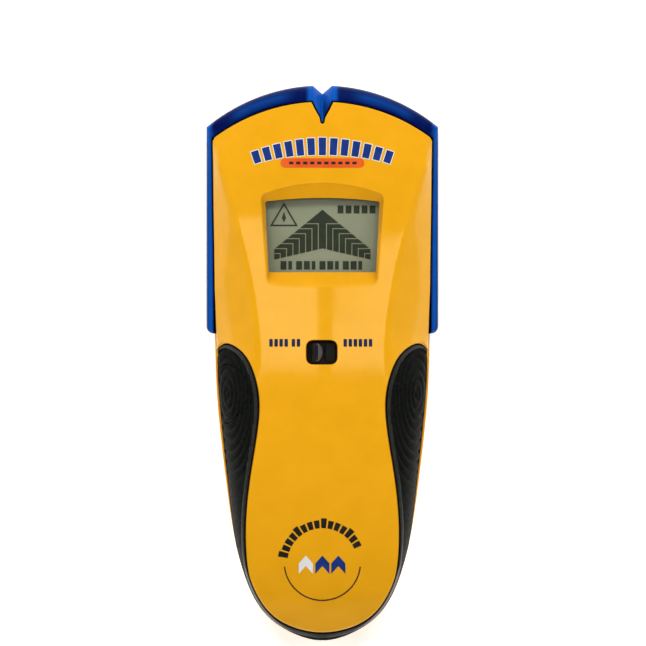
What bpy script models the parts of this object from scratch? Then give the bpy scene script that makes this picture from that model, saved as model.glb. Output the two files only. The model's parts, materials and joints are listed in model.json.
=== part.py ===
"""Handheld stud finder: two casing shells, light bezel, rubber grip, display stack, boards, 9 V battery and door.

The casing's back lies on Z = 0, +Y points to the pointer notch, and +X is to the right of the display.
Sizes below are in millimetres. MM turns them into metres where a mesh is made.
"""

import math

import bmesh
import bpy
import numpy as np
from mathutils import Vector

MM = 0.001
GAP = 0.3                     # clearance between pieces that touch

# Casing outline
HEAD_END = 85.7               # pointer end of the shells, on the centre line
HEAD_ARC = 59.5               # plan radius of the pointer end
# right side of the rear case, from the head corner to the tail
SIDE_KNOTS = [(36.0, 73.6), (35.8, 56), (35.5, 38), (35.3, 20), (35.2, 5), (34.7, -9.5), (33.3, -25),
              (31.5, -40), (29.3, -55), (26.3, -67.3), (22.4, -77), (16.9, -84), (9.2, -88.8), (0, -91)]
COVER_STEP = 0.7              # how far the cover stands back from the rear case beside the grips
COVER_STEP_MIDDLE = -18
COVER_STEP_REACH = 42

# Casing heights
# crest of the front face on the centre line, as (Y, Z)
SPINE_KNOTS = [(86, 16.4), (74, 19.8), (60, 22.4), (42, 24.4), (25, 26.4), (5, 28.9), (-15, 31.3), (-35, 33.0),
               (-55, 31.8), (-70, 28.2), (-81, 22.8), (-88, 17.2), (-91, 14.2)]
EDGE = 13.0                   # height where the crown meets the side wall
CROWN_POWER = 3.4
BOW_START = 20                # the crown's rings turn from straight to bowed between here and the head corner
WALL = 2.8
PARTING = 9.7                 # top of the rear case
HEAD_PARTING = 8.2            # top of the rear case where the bezel flange passes over it
FLANGE = (8.5, 10.5)
COVER_BASE = 10.0
HEAD_COVER_BASE = 10.8
FLOOR = 2.8
BACK_ROUND = 3.6
BOSS_RADIUS = 4.2
SCREW_WELL = (3.0, 2.9)       # radius and depth
SCREW_WAY = 1.8
BAY_RIBS = {"left": (-17.9, -16.7), "right": (16.7, 17.9)}

# Light bezel
BEZEL_HALF = 38.1
BEZEL_FOOT = 9.7
BEZEL_END = 91.3
BEZEL_Z = (4.6, 14.4)
NOTCH_HALF = 3.1
NOTCH_DEPTH = 2.9
WEDGE_HALF = 3.3
WEDGE_TIP = 78.5
WEDGE_TOP = 16.4

# Rubber grip: inner edge on the right side, from outside the casing, over the oval's top and down to the tail
TONGUE_KNOTS = [(39, 1.6), (35, 5.2), (30.5, 6.7), (25.4, 3.1), (21.9, -4.3), (20.5, -14), (21.7, -25),
                (23.6, -38), (25.0, -52), (24.8, -65), (21.8, -75), (15.9, -83), (0, -87)]
GRIP_BASE = 11.6
GRIP_THICKNESS = 1.3

# Controls
BUTTON_CENTRE = (-10.0, 20.4)     # Y and Z of the power button, seen from the left side
BUTTON_HALF = (9.5, 7.6)
BUTTON_THICKNESS = 3.2
BUTTON_GAP = 0.4
BUTTON_TRAVEL = 0.8
BUTTON_STEM = (-11.5, -8.5)       # Y
POWER_SWITCH = (-16.8, -11.3, -13.0, -7.0)
PLUNGER_Z = 16.5
KNOB_WINDOW = (-5.2, 4.9, -0.3, 7.5)
KNOB_TRAVEL = 3.0
KNOB_PLATE_Z = (23.2, 24.4)
KNOB_RIDGE = (-3.3, 0.1)
KNOB_TOP = 27.2
KNOB_FOOT = (-4.2, 1.0, 1.0, 6.2)
MODE_SWITCH = (-6.0, 6.0, 0.6, 6.6)
ACTUATOR = (-2.3, -0.9, 2.4, 4.8)

# Display
DISPLAY_SHELF = 20.2
DISPLAY_POCKET = (-20.2, 20.2, 27.6, 58.1)
DISPLAY_BLOCK = (-22.5, 22.5, 22.0, 62.5)
DISPLAY_VIEW = (-18.3, 18.3, 30.3, 54.2)
DISPLAY_RIM = (-20.0, 20.0, 25.5, 59.0)
DISPLAY_RIM_HEIGHT = 4.0      # the rim's height above the well's floor, where the well has its full width
WINDOW_PLAN = (-19.6, 19.6, 28.2, 57.5)
WINDOW_Z = (17.7, 19.0)
GASKET_Z = (19.3, 19.9)
GASKET_OPENING = (-18.6, 18.6, 29.8, 55.4)
LCD_PLAN = (-19, 19, 28.8, 57)
LCD_Z = (15.2, 17.4)
BEHIND_LCD_Z = (12.9, 14.9)
BACKLIGHT_PLAN = (-18.5, 18.5, 32.0, 53.8)
STRIP_PLANS = {"lower": (-17, 17, 29.4, 31.4), "upper": (-17, 17, 54.4, 56.4)}

# Boards
MAIN_BOARD = (-17, 17, -21, 58)
MAIN_BOARD_Z = (11.0, 12.6)
BOARD_TOP = 12.9              # where the main board's components stand
SENSOR_BOARD = (-23.9, 23.9, 14, 78)
SENSOR_BOARD_Z = (4.2, 5.8)
SENSOR_TOP = 6.1              # where the sensor board's components stand
MAIN_CHIP = (-5, 5, 10.5, 20.5)
CRYSTAL = (-14.5, -10.5, 9, 20)
CAPACITOR = (11.5, 14)
BUZZER = (8.5, -11.5)
HEADER = (-7.6, 7.6, 50, 52.5)
SENSOR_CHIP = (-5, 5, 30, 40)
LED_MIDDLE = (0, 73.5, 8.7)

# Battery, 9 V block
BATTERY_HALF = 13.25
BATTERY_Y = (-76.0, -29.6)
BATTERY_Z = (3.6, 21.1)
TERMINAL_SPACING = 12.7
TERMINAL_LENGTH = 2.2
TERMINALS = {"positive": (-1, 2.8), "negative": (1, 3.9)}   # side and radius
SNAP_THICKNESS = 1.7
LEAD_RADIUS = 0.65
# from the snap plate over the screw to the main board: distance from the centre line, from the plate, and height
LEAD_ROUTE = [(4.0, 0, 15.4), (4.2, 1.2, 15.5), (7.5, 2.6, 16.8), (11.4, 4.6, 16.2), (12.6, 6.2, 14.2),
              (12.6, 6.4, 13.0)]

# Battery door
DOOR_HALF = 15.8
DOOR_Y = (-78.0, -27.7)
DOOR_Z = (0.4, 2.4)
DOOR_TAB_HALF = 6.0
DOOR_TAB_END = -80.4
DOOR_CLEARANCE = 0.4
DOOR_PAD = (-9, 9, -66, -40)
FINGER_GROOVE = (4.5, 0.7, 1.7)   # half length, width and spacing
HINGE = (-29.0, 1.7)          # Y and Z of the door's hinge axis
HINGE_PIN = (0.6, 2.4)        # radius and length

CASE_SCREWS = {"head_left": (-28.5, 68), "head_right": (28.5, 68),
               "tail_left": (-24, -20), "tail_right": (24, -20)}
MAIN_SCREWS = {"left": (-13.5, 24.5), "right": (13.5, 24.5), "tail": (0, -18.5)}
SENSOR_SCREWS = {"left": (-19, 20), "right": (19, 20), "head": (0, 64)}
CASE_SCREW = (1.4, 2.4)       # shank and head radius
BOARD_SCREW = (1.0, 2.0)
CASE_SCREW_SEAT = 2.6
CASE_SCREW_TIP = 16.0

for old in list(bpy.data.objects):
    bpy.data.objects.remove(old)

PARTS = bpy.data.collections.new("stud_finder")
CUTTERS = bpy.data.collections.new("stud_finder_cutters")
for collection in (PARTS, CUTTERS):
    bpy.context.scene.collection.children.link(collection)


# ---------------------------------------------------------------- materials

def paint(name, colour, roughness, metallic=0.0, transmission=0.0):
    material = bpy.data.materials.new(name)
    material.use_nodes = True
    shader = material.node_tree.nodes["Principled BSDF"]
    shader.inputs["Base Color"].default_value = (*colour, 1.0)
    shader.inputs["Roughness"].default_value = roughness
    shader.inputs["Metallic"].default_value = metallic
    shader.inputs["Transmission Weight"].default_value = transmission
    return material


YELLOW = paint("yellow_plastic", (0.86, 0.39, 0.02), 0.3)
BLUE = paint("blue_translucent_plastic", (0.005, 0.05, 0.33), 0.2, 0.0, 0.3)
RUBBER = paint("black_rubber", (0.015, 0.016, 0.015), 0.65)
BLACK = paint("black_plastic", (0.02, 0.02, 0.02), 0.45)
CLEAR = paint("clear_window", (0.9, 0.92, 0.9), 0.05, 0.0, 0.95)
LCD = paint("display_glass", (0.3, 0.33, 0.24), 0.2)
DIFFUSER = paint("white_diffuser", (0.8, 0.8, 0.78), 0.5)
BOARD = paint("green_board", (0.02, 0.16, 0.06), 0.5)
CHIP = paint("chip_plastic", (0.03, 0.03, 0.035), 0.55)
STEEL = paint("plated_steel", (0.62, 0.62, 0.6), 0.3, 1.0)
BRASS = paint("brass_contact", (0.7, 0.5, 0.2), 0.3, 1.0)
ALUMINIUM = paint("aluminium_can", (0.75, 0.76, 0.78), 0.35, 1.0)
JACKET = paint("battery_jacket", (0.04, 0.05, 0.07), 0.35)
RED_LEAD = paint("red_lead", (0.5, 0.01, 0.01), 0.4)
BLACK_LEAD = paint("black_lead", (0.015, 0.015, 0.015), 0.4)
FOAM = paint("grey_foam", (0.12, 0.12, 0.12), 0.9)


# ---------------------------------------------------------------- modelling helpers

def add(name, mesh, material=None):
    """Put a mesh in the model, or among the cutters when it has no material."""
    piece = bpy.data.objects.new(name, mesh)
    if material is None:
        CUTTERS.objects.link(piece)
        piece.hide_render = True
        piece.display_type = "WIRE"
    else:
        PARTS.objects.link(piece)
        mesh.materials.append(material)
    return piece


def mesh_from(name, bm):
    bmesh.ops.recalc_face_normals(bm, faces=bm.faces)
    mesh = bpy.data.meshes.new(name)
    bm.to_mesh(mesh)
    bm.free()
    return mesh


def bevel(piece, width, segments=2):
    modifier = piece.modifiers.new("round", "BEVEL")
    modifier.width = width * MM
    modifier.segments = segments
    modifier.limit_method = "ANGLE"
    modifier.angle_limit = math.radians(40)


def boolean(piece, other, operation="DIFFERENCE"):
    modifier = piece.modifiers.new(operation.lower(), "BOOLEAN")
    modifier.operation = operation
    modifier.solver = "EXACT"
    modifier.object = other


def cut(piece, *cutters):
    for cutter in cutters:
        boolean(piece, cutter)


def join(piece, *others):
    for other in others:
        boolean(piece, other, "UNION")


def block(name, x, y, z, material=None, rounding=0.0):
    """A box from its (low, high) pair along each axis."""
    low, high = (Vector(corner) * MM for corner in zip(x, y, z))
    bm = bmesh.new()
    bmesh.ops.create_cube(bm, size=1.0)
    bmesh.ops.scale(bm, vec=high - low, verts=bm.verts)
    piece = add(name, mesh_from(name, bm), material)
    piece.location = (low + high) / 2
    if rounding:
        bevel(piece, rounding)
    return piece


def slab(name, plan, z, material=None, rounding=0.0):
    """A box from its plan (left, right, low, high) and its heights."""
    return block(name, plan[:2], plan[2:], z, material, rounding)


def rod(name, centre, radius, length, axis="Z", material=None, sides=16):
    """A cylinder about its centre, along one axis."""
    bm = bmesh.new()
    bmesh.ops.create_cone(bm, cap_ends=True, segments=sides, radius1=radius * MM, radius2=radius * MM,
                          depth=length * MM)
    piece = add(name, mesh_from(name, bm), material)
    piece.location = Vector(centre) * MM
    turn = math.radians(90)
    piece.rotation_euler = {"X": (0, turn, 0), "Y": (turn, 0, 0), "Z": (0, 0, 0)}[axis]
    if material is not None:
        piece.data.shade_smooth()
        piece.data.set_sharp_from_angle(angle=math.radians(40))
    return piece


def post(name, place, radius, z, material=None, sides=16):
    """An upright cylinder at an (x, y) place, from one height to another."""
    return rod(name, (*place, (z[0] + z[1]) / 2), radius, z[1] - z[0], "Z", material, sides)


def mesh_of_curve(name, curve, weld, material, place=(0, 0, 0)):
    """A closed mesh object made from a curve, with its caps welded on."""
    guide = bpy.data.objects.new(name + "_guide", curve)
    guide.location = Vector(place) * MM
    CUTTERS.objects.link(guide)
    bpy.context.view_layer.update()
    graph = bpy.context.evaluated_depsgraph_get()
    mesh = bpy.data.meshes.new_from_object(guide.evaluated_get(graph))
    mesh.name = name
    mesh.materials.clear()
    bm = bmesh.new()
    bm.from_mesh(mesh)
    bmesh.ops.remove_doubles(bm, verts=bm.verts, dist=weld * MM)
    bmesh.ops.recalc_face_normals(bm, faces=bm.faces)
    bm.to_mesh(mesh)
    bm.free()
    piece = add(name, mesh, material)
    piece.matrix_world = guide.matrix_world
    bpy.data.objects.remove(guide)
    return piece


def plate(name, outline, z, material=None):
    """A flat outline in X and Y, filled between two heights."""
    curve = bpy.data.curves.new(name, "CURVE")
    curve.dimensions = "2D"
    curve.fill_mode = "BOTH"
    curve.extrude = (z[1] - z[0]) / 2 * MM
    spline = curve.splines.new("POLY")
    spline.points.add(len(outline) - 1)
    for point, (x, y) in zip(spline.points, outline):
        point.co = (x * MM, y * MM, 0, 1)
    spline.use_cyclic_u = True
    return mesh_of_curve(name, curve, 0.001, material, (0, 0, (z[0] + z[1]) / 2))


def wire(name, route, radius, material):
    """A round lead along a smooth curve through the route's points."""
    samples = np.linspace(0, len(route) - 1, 4 * len(route))
    smooth_route = curve_through(range(len(route)), route)
    curve = bpy.data.curves.new(name, "CURVE")
    curve.dimensions = "3D"
    curve.bevel_depth = radius * MM
    curve.bevel_resolution = 2
    curve.use_fill_caps = True
    spline = curve.splines.new("POLY")
    spline.points.add(len(samples) - 1)
    for point, at in zip(spline.points, samples):
        point.co = (*(smooth_route(at) * MM), 1)
    return mesh_of_curve(name, curve, 0.01, material)


# ---------------------------------------------------------------- curves and outlines

def curve_through(at, values):
    """The natural cubic spline through values at the given places, as a function."""
    at = np.asarray(list(at), float)
    values = np.asarray(values, float)
    step = np.diff(at)
    system = np.eye(len(at))
    target = np.zeros_like(values)
    for i in range(1, len(at) - 1):
        system[i, i - 1:i + 2] = step[i - 1], 2 * (step[i - 1] + step[i]), step[i]
        target[i] = 6 * ((values[i + 1] - values[i]) / step[i] - (values[i] - values[i - 1]) / step[i - 1])
    bend = np.linalg.solve(system, target)

    def read(place):
        i = int(np.clip(np.searchsorted(at, place) - 1, 0, len(at) - 2))
        ahead, behind, width = at[i + 1] - place, place - at[i], step[i]
        curved = (bend[i] * ahead ** 3 + bend[i + 1] * behind ** 3) / (6 * width)
        left = (values[i] / width - bend[i] * width / 6) * ahead
        right = (values[i + 1] / width - bend[i + 1] * width / 6) * behind
        return curved + left + right

    return read


def down_the_side(knots, per_knot):
    """Points on a smooth curve from the first knot on the right side to the last, on the centre line."""
    mirrored = [(-x, y) for x, y in knots[-2::-1]]
    read = curve_through(range(2 * len(knots) - 1), list(knots) + mirrored)
    return [read(at) for at in np.linspace(0, len(knots) - 1, per_knot * (len(knots) - 1) + 1)]


def moved_in(points, inset):
    """The same points, moved towards the inside of the outline along their normals."""
    points = np.asarray(points)
    along = np.gradient(points, axis=0)
    along /= np.linalg.norm(along, axis=1)[:, None]
    return points + inset * np.column_stack((along[:, 1], -along[:, 0]))


def arc_drop(x, radius=HEAD_ARC):
    """How far an arc about the centre line has dropped at x."""
    return radius - math.sqrt(radius ** 2 - x ** 2)


def end_arc(half, end, radius, steps=8):
    """The left half, then the right half, of the bowed pointer end, from -half to +half."""
    return [(x, end - arc_drop(x, radius)) for x in np.linspace(-half, half, 2 * steps + 1)]


def side_points(inset, step_back=0.0):
    """The right side of a shell from head corner to tail, moved in by an inset."""
    points = moved_in(down_the_side(SIDE_KNOTS, 2), inset)
    for point in points:
        reach = (point[1] - COVER_STEP_MIDDLE) / COVER_STEP_REACH
        point[0] -= step_back * max(0.0, 1 - reach ** 2)
    points[0][1] = HEAD_END - inset - arc_drop(points[0][0], HEAD_ARC - inset)
    return points


def shell_outline(inset):
    """The whole plan outline of the casing, clockwise from the left head corner."""
    right = side_points(inset)
    top = end_arc(right[0][0], HEAD_END - inset, HEAD_ARC - inset)
    right[-1][0] = 0.0
    left = [(-x, y) for x, y in right[-2:0:-1]]
    return top + [tuple(point) for point in right[1:]] + left


def rounded_box(x, y, radius, steps=3):
    """A rectangle with round corners."""
    points = []
    corners = [(x[1], y[1], 0), (x[0], y[1], 90), (x[0], y[0], 180), (x[1], y[0], 270)]
    for corner_x, corner_y, start in corners:
        middle_x = corner_x - math.copysign(radius, corner_x - sum(x) / 2)
        middle_y = corner_y - math.copysign(radius, corner_y - sum(y) / 2)
        for step in range(steps + 1):
            turn = math.radians(start + 90 * step / steps)
            points.append((middle_x + radius * math.cos(turn), middle_y + radius * math.sin(turn)))
    return points


spine_height = curve_through([-y for y, z in SPINE_KNOTS], [z for y, z in SPINE_KNOTS])


def crown(u, y):
    """Height of the front face at a share u of the half width."""
    top = float(spine_height(-y))
    return EDGE + (top - EDGE) * math.sqrt(max(0.0, 1 - abs(u) ** CROWN_POWER))


def dome(name, inset, base, material=None, columns=8):
    """The crowned front as a solid: bowed rings across X from the pointer end to the tail, on a flat base."""
    bm = bmesh.new()
    rings = []
    sides = side_points(inset, COVER_STEP)
    sides[-1][0] = max(2.2 - inset * 0.4, 0.9)
    for edge_x, edge_y in sides:
        bow = np.clip((edge_y - BOW_START) / (SIDE_KNOTS[0][1] - BOW_START), 0, 1) ** 2
        ring = []
        for column in range(-columns, columns + 1):
            u = math.sin(math.pi / 2 * column / columns)
            x = edge_x * u
            y = edge_y + bow * (arc_drop(edge_x, HEAD_ARC - inset) - arc_drop(x, HEAD_ARC - inset))
            ring.append(bm.verts.new(Vector((x, y, crown(u, y) - inset)) * MM))
        rings.append(ring)
    for front, back in zip(rings, rings[1:]):
        for corners in zip(front, front[1:], back[1:], back):
            bm.faces.new(corners)
    right = [ring[-1] for ring in rings[1:]]
    left = [ring[0] for ring in rings[-2:0:-1]]
    rim = rings[0] + right + rings[-1][-2::-1] + left
    foot = [bm.verts.new((vert.co.x, vert.co.y, base * MM)) for vert in rim]
    for i in range(len(rim)):
        bm.faces.new((rim[i - 1], rim[i], foot[i], foot[i - 1]))
    bm.faces.new(foot)
    return add(name, mesh_from(name, bm), material)


# ---------------------------------------------------------------- casing shells

def rear_case():
    case = plate("rear_case", shell_outline(0), (0, PARTING), YELLOW)
    round_back_edge(case)
    hollow = plate("rear_hollow", shell_outline(2.2), (FLOOR, PARTING + 5))
    keep = []
    for side, place in CASE_SCREWS.items():
        keep.append(post("rear_boss_" + side, place, BOSS_RADIUS, (0, 20), sides=20))
    for side, place in SENSOR_SCREWS.items():
        keep.append(post("sensor_boss_" + side, place, 3.0, (0, SENSOR_BOARD_Z[0] - GAP)))
    for side, x in BAY_RIBS.items():
        keep.append(block("bay_rib_" + side, x, (-74, -32), (0, 20)))
    cut(hollow, *keep)
    cut(case, hollow)
    cut(case, block("head_step", (-60, 60), (BEZEL_FOOT - 0.6, 120), (HEAD_PARTING, 30)))
    for side, place in CASE_SCREWS.items():
        cut(case, post("screw_well_" + side, place, SCREW_WELL[0], (-5, SCREW_WELL[1]), sides=20))
        cut(case, post("screw_way_" + side, place, SCREW_WAY, (-5, 30)))
    for side, place in SENSOR_SCREWS.items():
        cut(case, post("sensor_pilot_" + side, place, 1.3, (0.9, 30), sides=12))
    half, tab = DOOR_HALF + DOOR_CLEARANCE, DOOR_TAB_HALF + DOOR_CLEARANCE
    hinge_end = DOOR_Y[1] + 0.7
    cut(case, block("door_opening", (-half, half), (DOOR_Y[0] - DOOR_CLEARANCE, hinge_end), (-5, 12)))
    cut(case, block("tab_opening", (-tab, tab), (DOOR_TAB_END - DOOR_CLEARANCE, DOOR_Y[0] + 2), (-6, 13)))
    for side, sign in (("left", -1), ("right", 1)):
        x = sorted((sign * (DOOR_HALF - 1), sign * (DOOR_HALF + 1.9)))
        cut(case, block("hinge_slot_" + side, x, (HINGE[0] - 1.2, HINGE[0] + 1.2), (0.5, 10)))


def round_back_edge(case):
    """Round the long lower edge of the rear case with a weighted bevel."""
    mesh = case.data
    weight = mesh.attributes.new("bevel_weight_edge", "FLOAT", "EDGE")
    lowest = min(vert.co.z for vert in mesh.vertices)
    walls = {}
    for face in mesh.polygons:
        for key in face.edge_keys:
            walls.setdefault(key, []).append(abs(face.normal.z))
    for edge in mesh.edges:
        at_back = all(mesh.vertices[i].co.z < lowest + 1e-5 for i in edge.vertices)
        tilts = walls[tuple(sorted(edge.vertices))]
        weight.data[edge.index].value = 1.0 if at_back and max(tilts) - min(tilts) > 0.5 else 0.0
    modifier = case.modifiers.new("round_back", "BEVEL")
    modifier.limit_method = "WEIGHT"
    modifier.width = BACK_ROUND * MM
    modifier.segments = 3


def front_cover():
    cover = dome("front_cover", 0.0, COVER_BASE, YELLOW)
    hollow = dome("cover_hollow", WALL, COVER_BASE - 3)
    view = DISPLAY_BLOCK
    cut(hollow, block("display_block", view[:2], view[2:], (DISPLAY_SHELF, 60)))
    for side, place in CASE_SCREWS.items():
        cut(hollow, post("cover_boss_" + side, place, 3.2, (0, 60)))
    for side, place in MAIN_SCREWS.items():
        cut(hollow, post("board_boss_" + side, place, 2.5, (MAIN_BOARD_Z[1] + GAP, 60), sides=12))
    cut(cover, hollow)
    for side, place in CASE_SCREWS.items():
        cut(cover, post("cover_pilot_" + side, place, 1.7, (0, 16.4), sides=12))
    for side, place in MAIN_SCREWS.items():
        cut(cover, post("board_pilot_" + side, place, 1.3, (0, 17.4), sides=12))
    recess = grip_zone("grip_recess", 0.0)
    cut(recess, dome("recess_floor", GRIP_THICKNESS + GAP, 0))
    cut(cover, recess)
    cut(cover, block("cover_head_step", (-60, 60), (BEZEL_FOOT - 0.6, 120), (0, HEAD_COVER_BASE)))
    pocket = DISPLAY_POCKET
    cut(cover, block("display_pocket", pocket[:2], pocket[2:], (5, DISPLAY_SHELF)))
    cut(cover, display_recess())
    window = rounded_box(KNOB_WINDOW[:2], KNOB_WINDOW[2:], 1.6)
    cut(cover, plate("knob_window", window, (15, 50)))
    cut(cover, button_prism("button_way_cover", BUTTON_GAP, (-45, -17)))
    cut(cover, plate("pointer_cut", pointer_outline(GAP), (0, 40)))


def display_recess():
    """The sloping-walled well in front of the display, as a cutter."""
    low, high = DISPLAY_SHELF - 1, 30.0
    x, y = DISPLAY_VIEW[:2], DISPLAY_VIEW[2:]
    recess = block("display_recess", x, y, (low, high))
    spread = (high - low) / DISPLAY_RIM_HEIGHT
    grow_x = (DISPLAY_RIM[1] - x[1]) * spread
    grow_low = (y[0] - DISPLAY_RIM[2]) * spread
    grow_high = (DISPLAY_RIM[3] - y[1]) * spread
    for vert in recess.data.vertices:
        if vert.co.z > 0:
            vert.co.x += math.copysign(grow_x, vert.co.x) * MM
            vert.co.y += (grow_high if vert.co.y > 0 else -grow_low) * MM
    return recess


def grip_zone(name, clearance):
    """Everything outside the tongue of the cover and above the grip's lower edge, as a cutter."""
    zone = block(name, (-45, 45), (-100, 8), (GRIP_BASE + clearance, 60))
    right = moved_in(down_the_side(TONGUE_KNOTS, 3), -clearance)
    right[-1][0] = 0.0
    left = [(-x, y) for x, y in right[-2::-1]]
    outline = [(-46, 12), (46, 12), (46, right[0][1])] + [tuple(point) for point in right] + left
    outline.append((-46, right[0][1]))
    cut(zone, plate(name + "_tongue", outline, (0, 70)))
    return zone


def grip_overmould():
    grip = dome("grip_overmould", 0.0, COVER_BASE, RUBBER)
    boolean(grip, grip_zone("grip_space", GAP), "INTERSECT")
    cut(grip, dome("grip_inside", GRIP_THICKNESS, 0))
    cut(grip, button_prism("button_way_grip", BUTTON_GAP, (-45, -17)))


def pointer_outline(clearance):
    """The pointer wedge's plan, from its tip to past the pointer end."""
    half = WEDGE_HALF + clearance
    return [(0, WEDGE_TIP - 2 * clearance), (half, HEAD_END), (half, HEAD_END + 9), (-half, HEAD_END + 9),
            (-half, HEAD_END)]


def bezel_outline():
    """The bezel's outer plan, clockwise from the notch."""
    round_foot = 2.5
    arc = end_arc(BEZEL_HALF, BEZEL_END, HEAD_ARC, 9)
    right = [(x, y) for x, y in arc if x > NOTCH_HALF]
    notch = [(0, BEZEL_END - NOTCH_DEPTH), (NOTCH_HALF, BEZEL_END - arc_drop(NOTCH_HALF))]
    foot = []
    for step in range(4):
        turn = math.radians(90 * step / 3)
        foot.append((BEZEL_HALF - round_foot + round_foot * math.cos(turn),
                     BEZEL_FOOT + round_foot - round_foot * math.sin(turn)))
    half = notch[1:] + right + foot
    return notch[:1] + half + [(-x, y) for x, y in half[::-1]]


def light_bezel():
    bezel = plate("light_bezel", bezel_outline(), BEZEL_Z, BLUE)
    bevel(bezel, 1.5)
    outside = shell_outline(-GAP)
    cut(bezel, plate("bezel_over_flange", outside, (FLANGE[1], 30)))
    cut(bezel, plate("bezel_under_flange", outside, (-5, FLANGE[0])))
    cut(bezel, plate("bezel_inside", shell_outline(1.6), (-5, 30)))
    root = HEAD_END + 1.5
    right = [(WEDGE_HALF, HEAD_END), (WEDGE_HALF, root)]
    left = [(-WEDGE_HALF, root), (-WEDGE_HALF, HEAD_END)]
    join(bezel, plate("pointer_wedge", [(0, WEDGE_TIP), *right, *left], (FLANGE[0] + 0.4, WEDGE_TOP)))


# ---------------------------------------------------------------- controls

def button_prism(name, clearance, x):
    """The power button's oval, carried along X."""
    middle = (sum(x) / 2, *BUTTON_CENTRE)
    oval = rod(name, middle, 1.0, x[1] - x[0], "X", sides=32)
    oval.scale = (BUTTON_HALF[1] + clearance, BUTTON_HALF[0] + clearance, 1)
    return oval


def power_button():
    button = dome("power_button", 0.0, COVER_BASE, RUBBER)
    boolean(button, button_prism("button_oval", 0.0, (-45, -20)), "INTERSECT")
    cut(button, dome("button_inside", BUTTON_THICKNESS, 0))
    join(button, block("button_stem", (-32.2, -19.0), BUTTON_STEM, (PLUNGER_Z - 1.3, PLUNGER_Z + 1.3)))
    left, right = POWER_SWITCH[:2]
    middle_y = BUTTON_CENTRE[0]
    body = slab("power_switch_body", POWER_SWITCH, (BOARD_TOP, BOARD_TOP + 6), BLACK, 0.2)
    cut(body, rod("plunger_bore", (left - 1.2, middle_y, PLUNGER_Z), 1.5, 7.2, "X"))
    rod("power_switch_plunger", (left - 0.3, middle_y, PLUNGER_Z), 1.2, 3.2, "X", BLACK, 12)


def mode_control():
    left, right, low, high = KNOB_WINDOW
    cover_over = 1.2
    knob_plan = (left - KNOB_TRAVEL - cover_over, right + cover_over, low - 1.8, high + 1.8)
    knob = slab("mode_knob", knob_plan, KNOB_PLATE_Z, BLACK)
    join(knob, block("knob_ridge", KNOB_RIDGE, (low + 0.6, high - 0.6), (KNOB_PLATE_Z[1] - 0.4, KNOB_TOP)))
    join(knob, slab("knob_foot", KNOB_FOOT, (20.4, KNOB_PLATE_Z[0] + 0.4)))
    room = (ACTUATOR[0] - GAP, ACTUATOR[1] + GAP, ACTUATOR[2] - GAP, ACTUATOR[3] + GAP)
    cut(knob, slab("knob_pocket", room, (10, 22.6)))
    body = slab("mode_switch_body", MODE_SWITCH, (BOARD_TOP, BOARD_TOP + 4.3), STEEL, 0.2)
    travel = (room[0], room[1] + KNOB_TRAVEL, room[2], room[3])
    cut(body, slab("switch_slot", travel, (14.6, 20)))
    slab("mode_switch_actuator", ACTUATOR, (14.9, 22.3), BLACK)


# ---------------------------------------------------------------- display

def display():
    glass = rounded_box(WINDOW_PLAN[:2], WINDOW_PLAN[2:], 1.5)
    plate("display_window", glass, WINDOW_Z, CLEAR)
    gasket = plate("window_gasket", glass, GASKET_Z, FOAM)
    cut(gasket, slab("gasket_opening", GASKET_OPENING, (15, 25)))
    slab("lcd_panel", LCD_PLAN, LCD_Z, LCD)
    slab("lcd_backlight", BACKLIGHT_PLAN, BEHIND_LCD_Z, DIFFUSER)
    for side, plan in STRIP_PLANS.items():
        slab("zebra_strip_" + side, plan, BEHIND_LCD_Z, CHIP)


# ---------------------------------------------------------------- boards

def boards():
    main = slab("main_board", MAIN_BOARD, MAIN_BOARD_Z, BOARD)
    for side, place in MAIN_SCREWS.items():
        cut(main, post("main_hole_" + side, place, 1.3, (0, 30), sides=12))
        screw("main_board_screw_" + side, place, MAIN_BOARD_Z[0] - GAP, 17.0, *BOARD_SCREW)
    sensor = plate("sensor_board", rounded_box(SENSOR_BOARD[:2], SENSOR_BOARD[2:], 3), SENSOR_BOARD_Z, BOARD)
    for side, place in SENSOR_SCREWS.items():
        cut(sensor, post("sensor_hole_" + side, place, 1.3, (0, 30), sides=12))
        screw("sensor_board_screw_" + side, place, SENSOR_BOARD_Z[1] + GAP, 1.2, *BOARD_SCREW)
    slab("main_chip", MAIN_CHIP, (BOARD_TOP, BOARD_TOP + 1.5), CHIP, 0.2)
    slab("clock_crystal", CRYSTAL, (BOARD_TOP, BOARD_TOP + 3.4), ALUMINIUM, 0.8)
    post("filter_capacitor", CAPACITOR, 3.0, (BOARD_TOP, BOARD_TOP + 7), ALUMINIUM, 20)
    buzzer = post("buzzer", BUZZER, 6.0, (BOARD_TOP, BOARD_TOP + 6), BLACK, 24)
    cut(buzzer, post("buzzer_port", BUZZER, 1.0, (BOARD_TOP + 3, BOARD_TOP + 10), sides=12))
    slab("board_header", HEADER, (SENSOR_TOP, MAIN_BOARD_Z[0] - GAP), BLACK)
    slab("sensor_chip", SENSOR_CHIP, (SENSOR_TOP, SENSOR_TOP + 1.5), CHIP, 0.2)
    led = rod("pointer_led", LED_MIDDLE, 2.5, 8.0, "Y", BLUE, 16)
    bevel(led, 0.8)


def screw(name, place, seat, tip, shank, head):
    """A screw from its seat to its tip, with the head on the far side of the seat and a cross recess."""
    away = math.copysign(1.0, seat - tip)
    body = post(name, place, head, sorted((seat, seat + away * head * 0.7)), STEEL, 14)
    join(body, post(name + "_shank", place, shank, sorted((seat + away * 0.2, tip)), sides=10))
    top = seat + away * head * 0.7
    for turn, (long, wide) in enumerate(((head * 0.6, head * 0.13), (head * 0.13, head * 0.6))):
        slot_z = sorted((top - away * head * 0.35, top + away))
        x = (place[0] - long, place[0] + long)
        y = (place[1] - wide, place[1] + wide)
        cut(body, block(f"{name}_slot_{turn}", x, y, slot_z))
    return body


# ---------------------------------------------------------------- battery

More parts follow.
